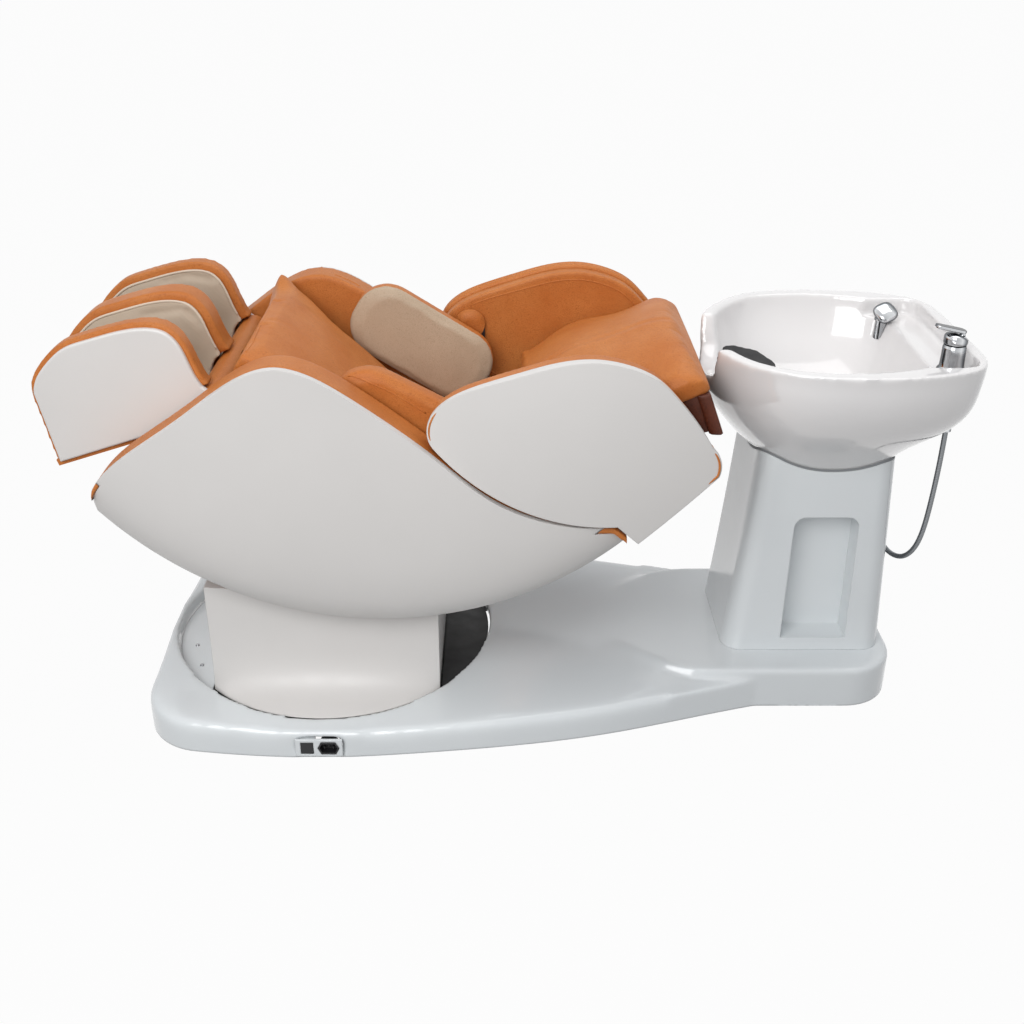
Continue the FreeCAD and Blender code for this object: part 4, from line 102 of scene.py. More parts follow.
def moulded(name, pale, deep, rough, grain, depth, edge, **sockets):
    """A hard moulded skin: slow drifts of tone and gloss, a fine surface ripple, and rounded edges."""
    material, tree, where = new_material(name)
    drift = add(tree, "ShaderNodeTexNoise", {"Vector": where, "Scale": per_mm(240), "Detail": 3.0})
    tone = add(tree, "ShaderNodeMix", {"Factor": drift.outputs[0], 6: linear(pale), 7: linear(deep)},
               data_type="RGBA")
    smear = add(tree, "ShaderNodeTexNoise", {"Vector": where, "Scale": per_mm(45), "Detail": 4.0})
    gloss = add(tree, "ShaderNodeMapRange", {"Value": smear.outputs[0], "From Min": 0.3, "From Max": 0.7,
                                             "To Min": rough * 0.85, "To Max": rough * 1.2})
    ripple = add(tree, "ShaderNodeTexNoise", {"Vector": where, "Scale": per_mm(grain), "Detail": 2.0})
    corner = add(tree, "ShaderNodeBevel", {"Radius": edge * MM}, samples=6)
    bump = add(tree, "ShaderNodeBump", {"Height": ripple.outputs[0], "Distance": depth * MM,
                                        "Strength": 0.5, "Normal": corner.outputs[0]})
    shader = add(tree, "ShaderNodeBsdfPrincipled", {"Base Color": tone.outputs[2], "Normal": bump.outputs[0],
                                                    "Roughness": gloss.outputs[0], **sockets})
    return finish_material(material, shader)


def leather(name, lit, deep, rough, valley_shade):
    """A coated hide: pebbled grain, slow drifts of dye, and painted shade that darkens the valleys between
    the pebbles.
    """
    material, tree, where = new_material(name)
    drift = add(tree, "ShaderNodeTexNoise", {"Vector": where, "Scale": per_mm(110), "Detail": 5.0,
                                             "Roughness": 0.6})
    spread = add(tree, "ShaderNodeMapRange", {"Value": drift.outputs[0], "From Min": 0.3, "From Max": 0.7})
    dye = add(tree, "ShaderNodeMix", {"Factor": spread.outputs[0], 6: linear(lit), 7: linear(deep)},
              data_type="RGBA")
    # A real pebble is about 1 mm, and is drawn at 3 mm so that it still shows at this distance
    pebble = add(tree, "ShaderNodeTexVoronoi", {"Vector": where, "Scale": per_mm(3.0), "Randomness": 1.0},
                 feature="DISTANCE_TO_EDGE")
    valley = add(tree, "ShaderNodeMapRange", {"Value": pebble.outputs[0], "From Max": 0.12})
    # Painted shade: the valleys between the pebbles take a darker colour, as shade in the grain
    valley_shaded = add(tree, "ShaderNodeMix", {"Factor": valley.outputs[0]}, data_type="RGBA")
    valley_shaded.inputs[6].default_value = linear(valley_shade)
    tree.links.new(dye.outputs[2], valley_shaded.inputs[7])
    wrinkle = add(tree, "ShaderNodeTexNoise", {"Vector": where, "Scale": per_mm(26), "Detail": 6.0,
                                               "Distortion": 0.8})
    slack = add(tree, "ShaderNodeBump", {"Height": wrinkle.outputs[0], "Distance": 1.6 * MM,
                                         "Strength": 0.35})
    grain = add(tree, "ShaderNodeBump", {"Height": valley.outputs[0], "Distance": 0.25 * MM, "Strength": 0.5,
                                         "Normal": slack.outputs[0]})
    shine = add(tree, "ShaderNodeMapRange", {"Value": drift.outputs[0], "To Min": rough * 0.85,
                                             "To Max": rough * 1.15})
    shader = add(tree, "ShaderNodeBsdfPrincipled", {"Base Color": valley_shaded.outputs[2], "IOR": 1.5,
                                                    "Roughness": shine.outputs[0],
                                                    "Normal": grain.outputs[0], "Specular IOR Level": 0.35})
    return finish_material(material, shader)


def knit(name, pale, deep, rough):
    """A brushed stretch fabric: a fine knit, a soft nap, and faint painted shadows of its folds, drawn as
    slow drifts of tone.
    """
    material, tree, where = new_material(name)
    drift = add(tree, "ShaderNodeTexNoise", {"Vector": where, "Scale": per_mm(70), "Detail": 4.0})
    # Painted shade: this slow drift of tone stands for faint shadows of folds
    tone = add(tree, "ShaderNodeMix", {"Factor": drift.outputs[0], 6: linear(pale), 7: linear(deep)},
               data_type="RGBA")
    # The real knit is about 0.6 mm, and is drawn at 3.5 mm so that it doesn't break up
    rows = add(tree, "ShaderNodeTexWave", {"Vector": where, "Scale": per_mm(3.5) / 6.28, "Distortion": 1.5},
               wave_type="BANDS", bands_direction="DIAGONAL")
    nap = add(tree, "ShaderNodeBump", {"Height": rows.outputs[1], "Distance": 0.3 * MM, "Strength": 0.4})
    shader = add(tree, "ShaderNodeBsdfPrincipled", {"Base Color": tone.outputs[2], "Roughness": rough,
                                                    "Normal": nap.outputs[0], "Sheen Weight": 0.25,
                                                    "Sheen Roughness": 0.5})
    return finish_material(material, shader)


def metal(name, reflection_tones, rough, scratch, edge):
    """A bare or plated metal: its base colour is a painted reflection of a darker room, set by the angle it
    is seen at, and it is wiped in fine streaks.
    """
    material, tree, where = new_material(name)
    streak = add(tree, "ShaderNodeTexNoise", {"Vector": where, "Scale": per_mm(9), "Detail": 6.0})
    gloss = add(tree, "ShaderNodeMapRange", {"Value": streak.outputs[0], "From Min": 0.3, "From Max": 0.7,
                                             "To Min": rough * 0.7, "To Max": rough * 1.4})
    corner = add(tree, "ShaderNodeBevel", {"Radius": edge * MM}, samples=6)
    bump = add(tree, "ShaderNodeBump", {"Height": streak.outputs[0], "Distance": scratch * MM,
                                        "Strength": 0.2, "Normal": corner.outputs[0]})
    facing = add(tree, "ShaderNodeLayerWeight", {"Blend": 0.5})
    # Painted reflection: the base colour runs through the tones of a darker room by how squarely the surface
    # faces the camera
    room = add(tree, "ShaderNodeValToRGB", {"Fac": facing.outputs["Facing"]})
    stops = room.color_ramp.elements
    for index, (spot, code) in enumerate(reflection_tones):
        stop = stops[index] if index < 2 else stops.new(spot)
        stop.position = spot
        stop.color = linear(code)
    shader = add(tree, "ShaderNodeBsdfPrincipled", {"Base Color": room.outputs[0], "Metallic": 1.0,
                                                    "Roughness": gloss.outputs[0],
                                                    "Normal": bump.outputs[0]})
    return finish_material(material, shader)


# Satin lacquer over moulded shells: near-white, with soft wide reflections
WHITE = moulded("satin_lacquered_abs", "#DEDBD8", "#D6D3D0", 0.36, 5.0, 0.05, 3.0, IOR=1.46)
# Glossy gelcoat of the base and column: cool grey, with clear reflections
GELCOAT = moulded("grey_gelcoat", "#E4E8E9", "#DBDFE1", 0.20, 14.0, 0.12, 5.0,
                  **{"Coat Weight": 0.4, "Coat Roughness": 0.08})
# Vitreous china: a white body under a clear glaze, which gives sharp highlights
CERAMIC = moulded("glazed_china", "#EDEBEA", "#E6E3E2", 0.14, 30.0, 0.15, 2.0,
                  **{"Coat Weight": 1.0, "Coat Roughness": 0.04})
# Tan seat leather: orange brown, satin, with a pebbled grain; the last colour is painted shade in the
# grain's valleys
ORANGE = leather("tan_leather", "#CF8342", "#BF6E2E", 0.5, "#A85E26")
# The armrest faces: a smooth grey-brown hide; the last colour is painted shade in the grain's valleys
TAUPE = leather("taupe_leather", "#C6B29A", "#B9A48C", 0.5, "#AA957D")
# Dark leather of the flaps and undersides; the last colour is painted shade in the grain's valleys
BROWN = leather("brown_leather", "#6A3420", "#4A2417", 0.5, "#3A1A10")
# Soft lining of the calf troughs
FABRIC = knit("beige_lining", "#CBBBA8", "#B7A590", 0.82)
# Pale cord sewn round the linings
PIPING = knit("cream_piping", "#DCCDBB", "#CBB9A5", 0.7)
# Moulded rubber: black, dull
RUBBER = moulded("black_rubber", "#1B1B1D", "#141416", 0.62, 2.5, 0.08, 2.0)
# Injection-moulded housings: black with a fine texture
PLASTIC = moulded("black_plastic", "#202022", "#18181A", 0.42, 2.5, 0.05, 1.0)
# Grey PVC waste pipe
PIPE = moulded("grey_pvc", "#8D9093", "#83868A", 0.4, 8.0, 0.05, 1.0)
# Powder-coated steel frames: dark grey with a fine orange peel
POWDER = moulded("powder_coated_steel", "#1F2022", "#191A1C", 0.5, 2.0, 0.08, 1.5)
# Grey sealant bead between basin and column: soft and dull
SEALANT = moulded("grey_sealant", "#8B8E90", "#7F8285", 0.6, 4.0, 0.05, 1.0)
# Chrome plating on the mixer, the hand shower and the fittings; its tones are a painted reflection of a
# darker room
CHROME = metal("chrome_plate", ((0.0, "#B4B6B9"), (0.2, "#DCDEE0"), (0.42, "#8B8E92"), (0.6, "#54575B"),
                                (0.8, "#28292D"), (0.95, "#A4A6AA")), 0.08, 0.02, 1.0)
# Woven steel over the hose: darker, with a broken shine; its tones are a painted reflection of a darker room
BRAID = metal("steel_hose_braid", ((0.0, "#8E9194"), (0.6, "#6C6F72"), (1.0, "#47494C")), 0.34, 0.08, 0.4)
# Bright turned steel of rods and screws; its tones are a painted reflection of a darker room
STEEL = metal("turned_steel", ((0.0, "#B9BBBD"), (1.0, "#8D8F93")), 0.24, 0.05, 0.8)
# Dark anodised bodies of the drives; their tones are a painted reflection of a darker room
DARK = metal("dark_anodised_metal", ((0.0, "#55585C"), (1.0, "#3E4044")), 0.38, 0.05, 1.2)

CAD_MATERIALS = (
    (WHITE, "pedestal_cover side_shell_near side_shell_far wing_near wing_far leg_panel_near leg_panel_far"),
    (GELCOAT, "column_shell recess_plate power_inlet_plate"),
    (RUBBER, "levelling_feet upper_rollers lower_rollers"),
    (SEALANT, "basin_gasket"),
    (PLASTIC, "power_rocker inlet_socket control_box seat_pan back_shell massage_carriage"),
    (CHROME, "handset_socket hose_unions drain_flange hair_strainer"),
    (POWDER, "base_frame pedestal_frame seat_frame back_frame column_post arm_brackets"),
    (ORANGE, "leg_frame"),
    (STEEL, "tilt_shaft back_rod leg_rod tilt_rod recess_plate_screws massage_rails"),
    (DARK, "tilt_actuator back_actuator leg_actuator"),
    (PIPE, "drain_pipe"),
)
for material, names in CAD_MATERIALS:
    for name in names.split():
        nodes[name].data.materials.clear()
        nodes[name].data.materials.append(material)


# Helpers for the modelled pieces

def only(piece):
    bpy.ops.object.select_all(action="DESELECT")
    piece.select_set(True)
    bpy.context.view_layer.objects.active = piece


def shape_by(piece, kind, **settings):
    """Adds a modifier and applies it."""
    only(piece)
    bpy.ops.object.modifier_add(type=kind)
    modifier = piece.modifiers[-1]
    for key, value in settings.items():
        setattr(modifier, key, value)
    bpy.ops.object.modifier_apply(modifier=modifier.name)


def piece_from(mesh, name):
    """A new piece from a mesh that was put together here."""
    data = bpy.data.meshes.new(name)
    mesh.to_mesh(data)
    mesh.free()
    piece = bpy.data.objects.new(name, data)
    scene.collection.objects.link(piece)
    return piece


def copy_of(node, name):
    """A CAD solid's mesh as a new piece, with its seams merged."""
    piece = bpy.data.objects.new(name, nodes[node].data.copy())
    scene.collection.objects.link(piece)
    only(piece)
    bpy.ops.object.mode_set(mode="EDIT")
    bpy.ops.mesh.select_all(action="SELECT")
    bpy.ops.mesh.remove_doubles(threshold=0.00001)
    bpy.ops.mesh.normals_make_consistent(inside=False)
    bpy.ops.object.mode_set(mode="OBJECT")
    return piece


def dressed(piece, body, slot, *materials):
    """Gives a piece its finish and the body that it moves with."""
    piece.data.materials.clear()
    for material in materials:
        piece.data.materials.append(material)
    only(piece)
    bpy.ops.object.shade_smooth()
    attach(piece, body)
    return piece


def points_of(piece):
    flat = np.empty(len(piece.data.vertices) * 3)
    piece.data.vertices.foreach_get("co", flat)
    return flat.reshape(-1, 3)


def normals_of(piece):
    flat = np.empty(len(piece.data.vertices) * 3)
    piece.data.vertices.foreach_get("normal", flat)
    return flat.reshape(-1, 3)


def set_points(piece, points):
    piece.data.vertices.foreach_set("co", points.ravel())
    piece.data.update()


def gap_to(points, line):
    """Each point's distance from a run of straight stretches."""
    best = np.full(len(points), 9.0)
    for start, end in zip(line, line[1:]):
        start = np.array(start) * MM
        run = np.array(end) * MM - start
        along = np.clip(((points - start) @ run) / (run @ run), 0, 1)
        best = np.minimum(best, np.linalg.norm(points - start - along[:, None] * run, axis=1))
    return best


def creased(piece, folds):
    """Presses folds into a cover: each has its line, its depth and its width, in millimetres."""
    for line, depth, width in folds:
        points = points_of(piece)
        gap = gap_to(points, line) / (width * MM)
        dip = np.exp(-gap ** 2) - 0.45 * np.exp(-(gap / 2.4) ** 2)
        set_points(piece, points - normals_of(piece) * (dip * depth * MM)[:, None])


def rounded(node, name, voxel, rounds):
    """A CAD solid remeshed evenly and smoothed, so that its edges roll over."""
    piece = copy_of(node, name)
    shape_by(piece, "REMESH", mode="VOXEL", voxel_size=voxel * MM)
    shape_by(piece, "SMOOTH", factor=0.5, iterations=rounds)
    return piece


def softened(piece, rounds, share):
    """Smooths a piece where share() of a point is above 0, and fully where it is 1 or more."""
    group = piece.vertex_groups.new(name="soft")
    for vertex in piece.data.vertices:
        group.add([vertex.index], min(1.0, max(0.0, share(vertex.co))), "REPLACE")
    shape_by(piece, "SMOOTH", factor=0.5, iterations=rounds, vertex_group="soft")


def puffed(piece, most):
    """Fills a cover with air, as its foam does; each point may only move outwards, and not far."""
    start = points_of(piece)
    outwards = normals_of(piece)
    only(piece)
    bpy.ops.object.modifier_add(type="CLOTH")
    cloth = piece.modifiers[-1]
    cloth.settings.use_pressure = True
    cloth.settings.uniform_pressure_force = 4.0
    cloth.settings.effector_weights.gravity = 0.0
    for moment in range(1, 21):
        scene.frame_set(moment)
    bpy.ops.object.modifier_apply(modifier=cloth.name)
    scene.frame_set(1)
    swell = np.sum((points_of(piece) - start) * outwards, axis=1)
    set_points(piece, start + outwards * np.clip(swell, 0, most * MM)[:, None])
    shape_by(piece, "SMOOTH", factor=0.5, iterations=3)


def tube(name, line, radius, sides):
    """A round tube along a line of points in metres; radius is a number, or one for each point."""
    spots = [Vector(p) for p in line]
    closed = (spots[0] - spots[-1]).length < 1e-6
    if closed:
        spots = spots[:-1]
    count = len(spots)
    radii = radius if hasattr(radius, "__len__") else [radius] * count
    mesh = bmesh.new()
    rings = []
    side = None
    for i, spot in enumerate(spots):
        before = spots[i - 1] if closed or i else spots[0]
        after = spots[(i + 1) % count] if closed or i < count - 1 else spots[-1]
        along = (after - before).normalized()
        if side is None:
            side = along.orthogonal().normalized()
        side = (side - along * side.dot(along)).normalized()
        up = along.cross(side)
        rings.append([mesh.verts.new(spot + (side * math.cos(a) + up * math.sin(a)) * radii[i])
                      for a in (2 * math.pi * k / sides for k in range(sides))])
    pairs = list(zip(rings, rings[1:]))
    if closed:
        pairs.append((rings[-1], rings[0]))
    for low, high in pairs:
        for k in range(sides):
            mesh.faces.new((low[k], low[(k + 1) % sides], high[(k + 1) % sides], high[k]))
    if not closed:
        mesh.faces.new(reversed(rings[0]))
        mesh.faces.new(rings[-1])
    bmesh.ops.recalc_face_normals(mesh, faces=mesh.faces)
    return piece_from(mesh, name)


def smooth_line(spots, steps):
    """Points of the NURBS spline with these control points, in metres."""
    curve = bpy.data.curves.new("guide", "CURVE")
    curve.dimensions = "3D"
    curve.resolution_u = steps
    spline = curve.splines.new("NURBS")
    spline.points.add(len(spots) - 1)
    for point, spot in zip(spline.points, spots):
        point.co = (*spot, 1.0)
    spline.order_u = 3
    spline.use_endpoint_u = True
    guide = bpy.data.objects.new("guide", curve)
    scene.collection.objects.link(guide)
    bpy.context.view_layer.update()
    mesh = bpy.data.meshes.new_from_object(guide)
    points = [v.co.copy() for v in mesh.vertices]
    bpy.data.objects.remove(guide)
    bpy.data.curves.remove(curve)
    bpy.data.meshes.remove(mesh)
    return points


def joined(pieces, name):
    """One piece from several."""
    bpy.ops.object.select_all(action="DESELECT")
    for piece in pieces:
        piece.select_set(True)
    bpy.context.view_layer.objects.active = pieces[0]
    bpy.ops.object.join()
    pieces[0].name = name
    return pieces[0]


def seam(name, on, line, radius, body, material):
    """A sewn cord that lies on a cover along a line of points in metres."""
    laid = [on.closest_point_on_mesh(p)[1] for p in line]
    return dressed(tube(name, laid, radius * MM, 10), body, "orange_leather", material)


def turned(name, at, profile, sides):
    """A lathed piece: its profile is radius and height in millimetres, from the foot to the top."""
    mesh = bmesh.new()
    rings = []
    for radius, height in profile:
        rings.append([mesh.verts.new((at[0] + radius * MM * math.cos(2 * math.pi * k / sides),
                                      at[1] + radius * MM * math.sin(2 * math.pi * k / sides),
                                      at[2] + height * MM)) for k in range(sides)])
    for low, high in zip(rings, rings[1:]):
        for k in range(sides):
            mesh.faces.new((low[k], low[(k + 1) % sides], high[(k + 1) % sides], high[k]))
    mesh.faces.new(reversed(rings[0]))
    mesh.faces.new(rings[-1])
    piece = piece_from(mesh, name)
    shape_by(piece, "BEVEL", width=0.8 * MM, segments=2, limit_method="ANGLE",
             angle_limit=math.radians(40))
    return piece


def sharp_runs(node, degrees, keep):
    """The runs of a CAD solid's outward edges that keep() picks, each a list of points."""
    mesh = bmesh.new()
    mesh.from_mesh(nodes[node].data)
    bmesh.ops.remove_doubles(mesh, verts=mesh.verts, dist=1e-5)
    bmesh.ops.recalc_face_normals(mesh, faces=mesh.faces)
    links = {}
    for edge in mesh.edges:
        if len(edge.link_faces) != 2 or edge.calc_face_angle_signed() < math.radians(degrees):
            continue
        one, two = edge.verts
        if keep((one.co + two.co) / 2):
            links.setdefault(one, []).append(two)
            links.setdefault(two, []).append(one)
    runs = []
    while links:
        start = next((v for v in links if len(links[v]) == 1), next(iter(links)))
        run = [start]
        while links.get(run[-1]):
            here = run[-1]
            after = links[here].pop()
            links[after].remove(here)
            run.append(after)
        for vert in run:
            if vert in links and not links[vert]:
                del links[vert]
        runs.append([v.co.copy() for v in run])
    mesh.free()
    return [r for r in runs if len(r) > 2]


def piped(name, node, radius, degrees, keep, body, slot, material):
    """Cord along the edges of a CAD solid."""
    runs = sharp_runs(node, degrees, keep)
    pieces = [tube(f"{name}_{i}", run, radius * MM, 10) for i, run in enumerate(runs)]
    return dressed(joined(pieces, name), body, slot, material)


# The corrugated hose from the basin's deck back into the column

HOSE_ROUTE = (
    (0.9510, -0.1220, 0.6500), (0.9510, -0.1220, 0.6100), (0.9507, -0.1214, 0.5700),
    (0.9500, -0.1202, 0.5300), (0.9490, -0.1183, 0.4901), (0.9477, -0.1158, 0.4502),
    (0.9459, -0.1123, 0.4124), (0.9429, -0.1068, 0.3769), (0.9383, -0.0981, 0.3465),
    (0.9317, -0.0857, 0.3223), (0.9232, -0.0699, 0.3049), (0.9132, -0.0510, 0.2963),
    (0.9024, -0.0307, 0.2963), (0.8925, -0.0122, 0.3056), (0.8853, 0.0014, 0.3227),
    (0.8814, 0.0086, 0.3453),
)
HOSE_RADIUS = 0.006
RIB_PITCH = 0.004
hose_line = smooth_line(HOSE_ROUTE, 44)
hose_run = [0.0]
for before, after in zip(hose_line, hose_line[1:]):
    hose_run.append(hose_run[-1] + (after - before).length)
ribs = [HOSE_RADIUS * (0.955 + 0.045 * math.cos(2 * math.pi * s / RIB_PITCH)) for s in hose_run]
hose = dressed(tube("ribbed_hose", hose_line, ribs, 20), "base", "chrome", BRAID)
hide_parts("mixer_hose")


# The basin and the neck rest

NOTCH_END_X = 0.55
NOTCH_FOOT_Z = 0.72
BLEND = 0.06
CROWN_FROM_X = 0.445
CROWN_TO_X = 0.625
CROWN_FOOT_Z = 0.66
CROWN_RISE = 0.026
basin = rounded("basin", "china_basin", 4.2, 14)
softened(basin, 50, lambda p: (NOTCH_END_X - p.x) / BLEND if p.z > NOTCH_FOOT_Z else 0.0)
dressed(basin, "base", "ceramic", CERAMIC)
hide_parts("basin")
rest = rounded("neck_rest", "gel_neck_rest", 4.0, 10)
spots = points_of(rest)
crown = np.clip((spots[:, 0] - CROWN_FROM_X) / BLEND, 0, 1)
crown *= np.clip((CROWN_TO_X - spots[:, 0]) / BLEND, 0, 1)
spots[:, 2] += CROWN_RISE * crown * np.clip((spots[:, 2] - CROWN_FOOT_Z) / BLEND, 0, 1)
set_points(rest, spots)
shape_by(rest, "SMOOTH", factor=0.5, iterations=14)
dressed(rest, "base", "black_rubber", RUBBER)
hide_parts("neck_rest")


# The plinth: its outer skin, thickened and smoothed so that its long edges roll over

RECESS_AT = (-0.436, 0, 0)
RECESS_RADIUS = 0.383
RING_KEPT = 0.014
RING_BLEND = 0.03
PLATFORM_X = 0.36
INLET_X = -0.42
INLET_HALF = 0.09
INLET_Y = -0.36
UPWARD_LEAN = Vector((0, 0, 0.8))
plinth = copy_of("base_plinth", "gelcoat_plinth")
skin = bmesh.new()
skin.from_mesh(plinth.data)
skin_tree = BVHTree.FromBMesh(skin)
covered = []
for face in skin.faces:
    upwards = (face.normal + UPWARD_LEAN).normalized()
    start = face.calc_center_median() + face.normal * 0.5 * MM
    if face.normal.z < -0.5 or skin_tree.ray_cast(start, upwards)[0] is not None:
        covered.append(face)
bmesh.ops.delete(skin, geom=covered, context="FACES")
# Of what is left, only the run of faces that holds the highest one is the outside
outer = {max(skin.faces, key=lambda face: face.calc_center_median().z)}
newest = set(outer)
while newest:
    newest = {other for face in newest for side in face.edges for other in side.link_faces} - outer
    outer |= newest
bmesh.ops.delete(skin, geom=[face for face in skin.faces if face not in outer], context="FACES")
# The foot is drawn out below the floor, so that smoothing leaves it straight, and is cut off afterwards
foot = [e for e in skin.edges if len(e.link_faces) == 1 and max(v.co.z for v in e.verts) < 2 * MM]
for item in bmesh.ops.extrude_edge_only(skin, edges=foot)["geom"]:
    if isinstance(item, bmesh.types.BMVert):
        item.co.z = -50 * MM
skin.to_mesh(plinth.data)
skin.free()
shape_by(plinth, "SOLIDIFY", thickness=18 * MM, offset=-1.0)
shape_by(plinth, "REMESH", mode="VOXEL", voxel_size=6.5 * MM)


def plinth_softness(spot):
    """Full on the long edges, none at the ring, and little at the platform and the power inlet."""
    from_ring = abs(math.hypot(spot.x - RECESS_AT[0], spot.y) - RECESS_RADIUS)
    weight = min(1.0, (from_ring - RING_KEPT) / RING_BLEND)
    if spot.x > PLATFORM_X:
        weight *= 0.06
    if abs(spot.x - INLET_X) < INLET_HALF and spot.y < INLET_Y:
        weight *= 0.35
    return weight


softened(plinth, 60, plinth_softness)
skin = bmesh.new()
skin.from_mesh(plinth.data)
everything = skin.verts[:] + skin.edges[:] + skin.faces[:]
cut = bmesh.ops.bisect_plane(skin, geom=everything, plane_co=(0, 0, 0), plane_no=(0, 0, 1),
                             clear_inner=True)
bmesh.ops.triangle_fill(skin, edges=[e for e in cut["geom_cut"] if isinstance(e, bmesh.types.BMEdge)])
skin.to_mesh(plinth.data)
skin.free()
dressed(plinth, "base", "grey_gloss", GELCOAT)
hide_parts("base_plinth")


# A dark sheet under the recess, as painted shade, which shows in the gap between the pedestal's foot and the
# ring

SHADE_SHEET_PROFILE = ((1, 57), (376, 57), (376, 59.5), (1, 59.5))
shade_sheet = turned("recess_sheet", RECESS_AT, SHADE_SHEET_PROFILE, 96)
dressed(shade_sheet, "base", "painted_steel", POWDER)


# The mixer on the basin's deck: a flanged body, a sloping head and a thin lever, and the hand shower

MIXER_AT = (0.928, -0.148, 0.800)
BODY_PROFILE = ((11, -95), (11, -0.5), (29.4, -0.5), (30, 2), (29.4, 5), (27, 7.5), (25.4, 11), (24.8, 30),
                (24.6, 52), (23.6, 53), (23.2, 57), (4, 57.5))
HEAD_PROFILE = ((14.6, 59.5), (24, 59.5), (24.9, 61), (25, 66), (25, 72), (24.4, 77), (21, 80.5), (13, 82),
                (3, 82.3))
HEAD_SLOPE_FROM = 0.066
HEAD_SLOPE_RUN = 0.016
HEAD_DROP = 0.011
barrel = dressed(turned("mixer_barrel", MIXER_AT, BODY_PROFILE, 64), "base", "chrome", CHROME)
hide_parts("mixer_body")
head = turned("mixer_head", MIXER_AT, HEAD_PROFILE, 64)
spots = points_of(head)
high = np.clip((spots[:, 2] - MIXER_AT[2] - HEAD_SLOPE_FROM) / HEAD_SLOPE_RUN, 0, 1)
across = np.clip((spots[:, 0] - MIXER_AT[0] + 0.008) / 0.030, 0, 1)
spots[:, 2] -= HEAD_DROP * high * across ** 2
set_points(head, spots)
dressed(head, "mixer_cap", "chrome", CHROME)
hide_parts("mixer_cap")
BLADE_FOOT_Z = 0.884
BLADE_DROP = 0.004
blade = rounded("mixer_lever", "mixer_blade", 1.3, 8)
spots = points_of(blade)
spots[:, 2] -= BLADE_DROP * np.clip((spots[:, 2] - BLADE_FOOT_Z) / BLADE_DROP, 0, 1)
set_points(blade, spots)
dressed(blade, "mixer_lever", "chrome", CHROME)
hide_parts("mixer_lever")
SHOWER_AT = (0.880, 0.196, 0.800)
KNOB_AT = (0.880, 0.181, 0.822)
KNOB_WIDTH = 0.94
STEM_PROFILE = ((6, -69), (10.8, -69), (10.8, 10.4), (17.5, 10.6), (18.5, 13), (15, 20), (12, 24), (6, 26))
KNOB_PROFILE = ((4, -13.5), (17, -13), (24, -10), (27, -4), (27.5, 1), (26, 5), (22, 8.5), (14, 11),
                (3, 12))
stem = turned("shower_stem", SHOWER_AT, STEM_PROFILE, 48)
knob = turned("shower_knob", (0, 0, 0), KNOB_PROFILE, 64)
spots = points_of(knob)
turn = np.arctan2(spots[:, 1], spots[:, 0])
square = (np.abs(np.cos(turn)) ** 3 + np.abs(np.sin(turn)) ** 3) ** (-1 / 3)
spots[:, :2] *= (KNOB_WIDTH * square)[:, None]
tilt = Matrix.Rotation(math.radians(38), 3, "X") @ Matrix.Rotation(math.radians(28), 3, "Z")
spots = spots @ np.array(tilt).T + np.array(KNOB_AT)
set_points(knob, spots)
shower = dressed(joined([stem, knob], "hand_shower"), "handset", "chrome", CHROME)
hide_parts("handset")


# Seat and back covers

SEAT_FOLDS = (
    (((-534, 210, 868), (-474, 178, 829)), 5, 11),
    (((-509, 118, 860), (-432, 113, 802)), 5, 10),
    (((-483, 94, 844), (-404, 66, 782)), 6, 11),
    (((-537, 91, 880), (-496, 62, 854)), 4, 9),
    (((-451, 15, 823), (-394, 39, 774)), 5, 10),
    (((-520, -60, 872), (-440, -20, 812)), 4, 11),
)
# The seat's far front corner stands up in a peak
PEAK_X = -0.545
PEAK_Y = 0.245
PEAK_FOOT_Z = 0.80
PEAK_RISE = 0.026
seat = rounded("seat_cushion", "seat_cover", 6.0, 6)
puffed(seat, 14)
spots = points_of(seat)
rise = np.exp(-((spots[:, 0] - PEAK_X) / 0.035) ** 2 - ((spots[:, 1] - PEAK_Y) / 0.05) ** 2)
spots[:, 2] += PEAK_RISE * rise * (spots[:, 2] > PEAK_FOOT_Z)
set_points(seat, spots)
shape_by(seat, "SUBSURF", levels=1, render_levels=1)
creased(seat, SEAT_FOLDS)
dressed(seat, "seat", "orange_leather", ORANGE)
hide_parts("seat_cushion")

BACK_FOLDS = (
    (((60, -6, 755), (129, -7, 786), (195, -8, 810), (253, -4, 829), (296, -3, 845), (338, -6, 853)), 9, 12),
)
back = rounded("back_cushion", "back_cover", 6.0, 5)
puffed(back, 12)
shape_by(back, "SUBSURF", levels=1, render_levels=1)
creased(back, BACK_FOLDS)
dressed(back, "back", "orange_leather", ORANGE)
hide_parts("back_cushion")


# Armrest pads: a taupe face on the seat's side, tan leather round it

ARM_FOOT_Z = 0.59
NEAR_ARM_HEIGHT = 0.86
ARM_FACE_Y = 0.216
for side in ("near", "far"):
    pad = rounded(f"arm_pad_{side}", f"arm_pad_cover_{side}", 5.0, 6)
    puffed(pad, 6)
    if side == "near":
        spots = points_of(pad)
        spots[:, 2] = ARM_FOOT_Z + (spots[:, 2] - ARM_FOOT_Z) * NEAR_ARM_HEIGHT
        set_points(pad, spots)
    shape_by(pad, "SUBSURF", levels=1, render_levels=1)
    dressed(pad, "seat", "orange_leather", ORANGE, TAUPE)
    for face in pad.data.polygons:
        face.material_index = int(abs(face.center.y) < ARM_FACE_Y)
    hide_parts(f"arm_pad_{side}")


# Side linings, wing linings and the rolls round the wings

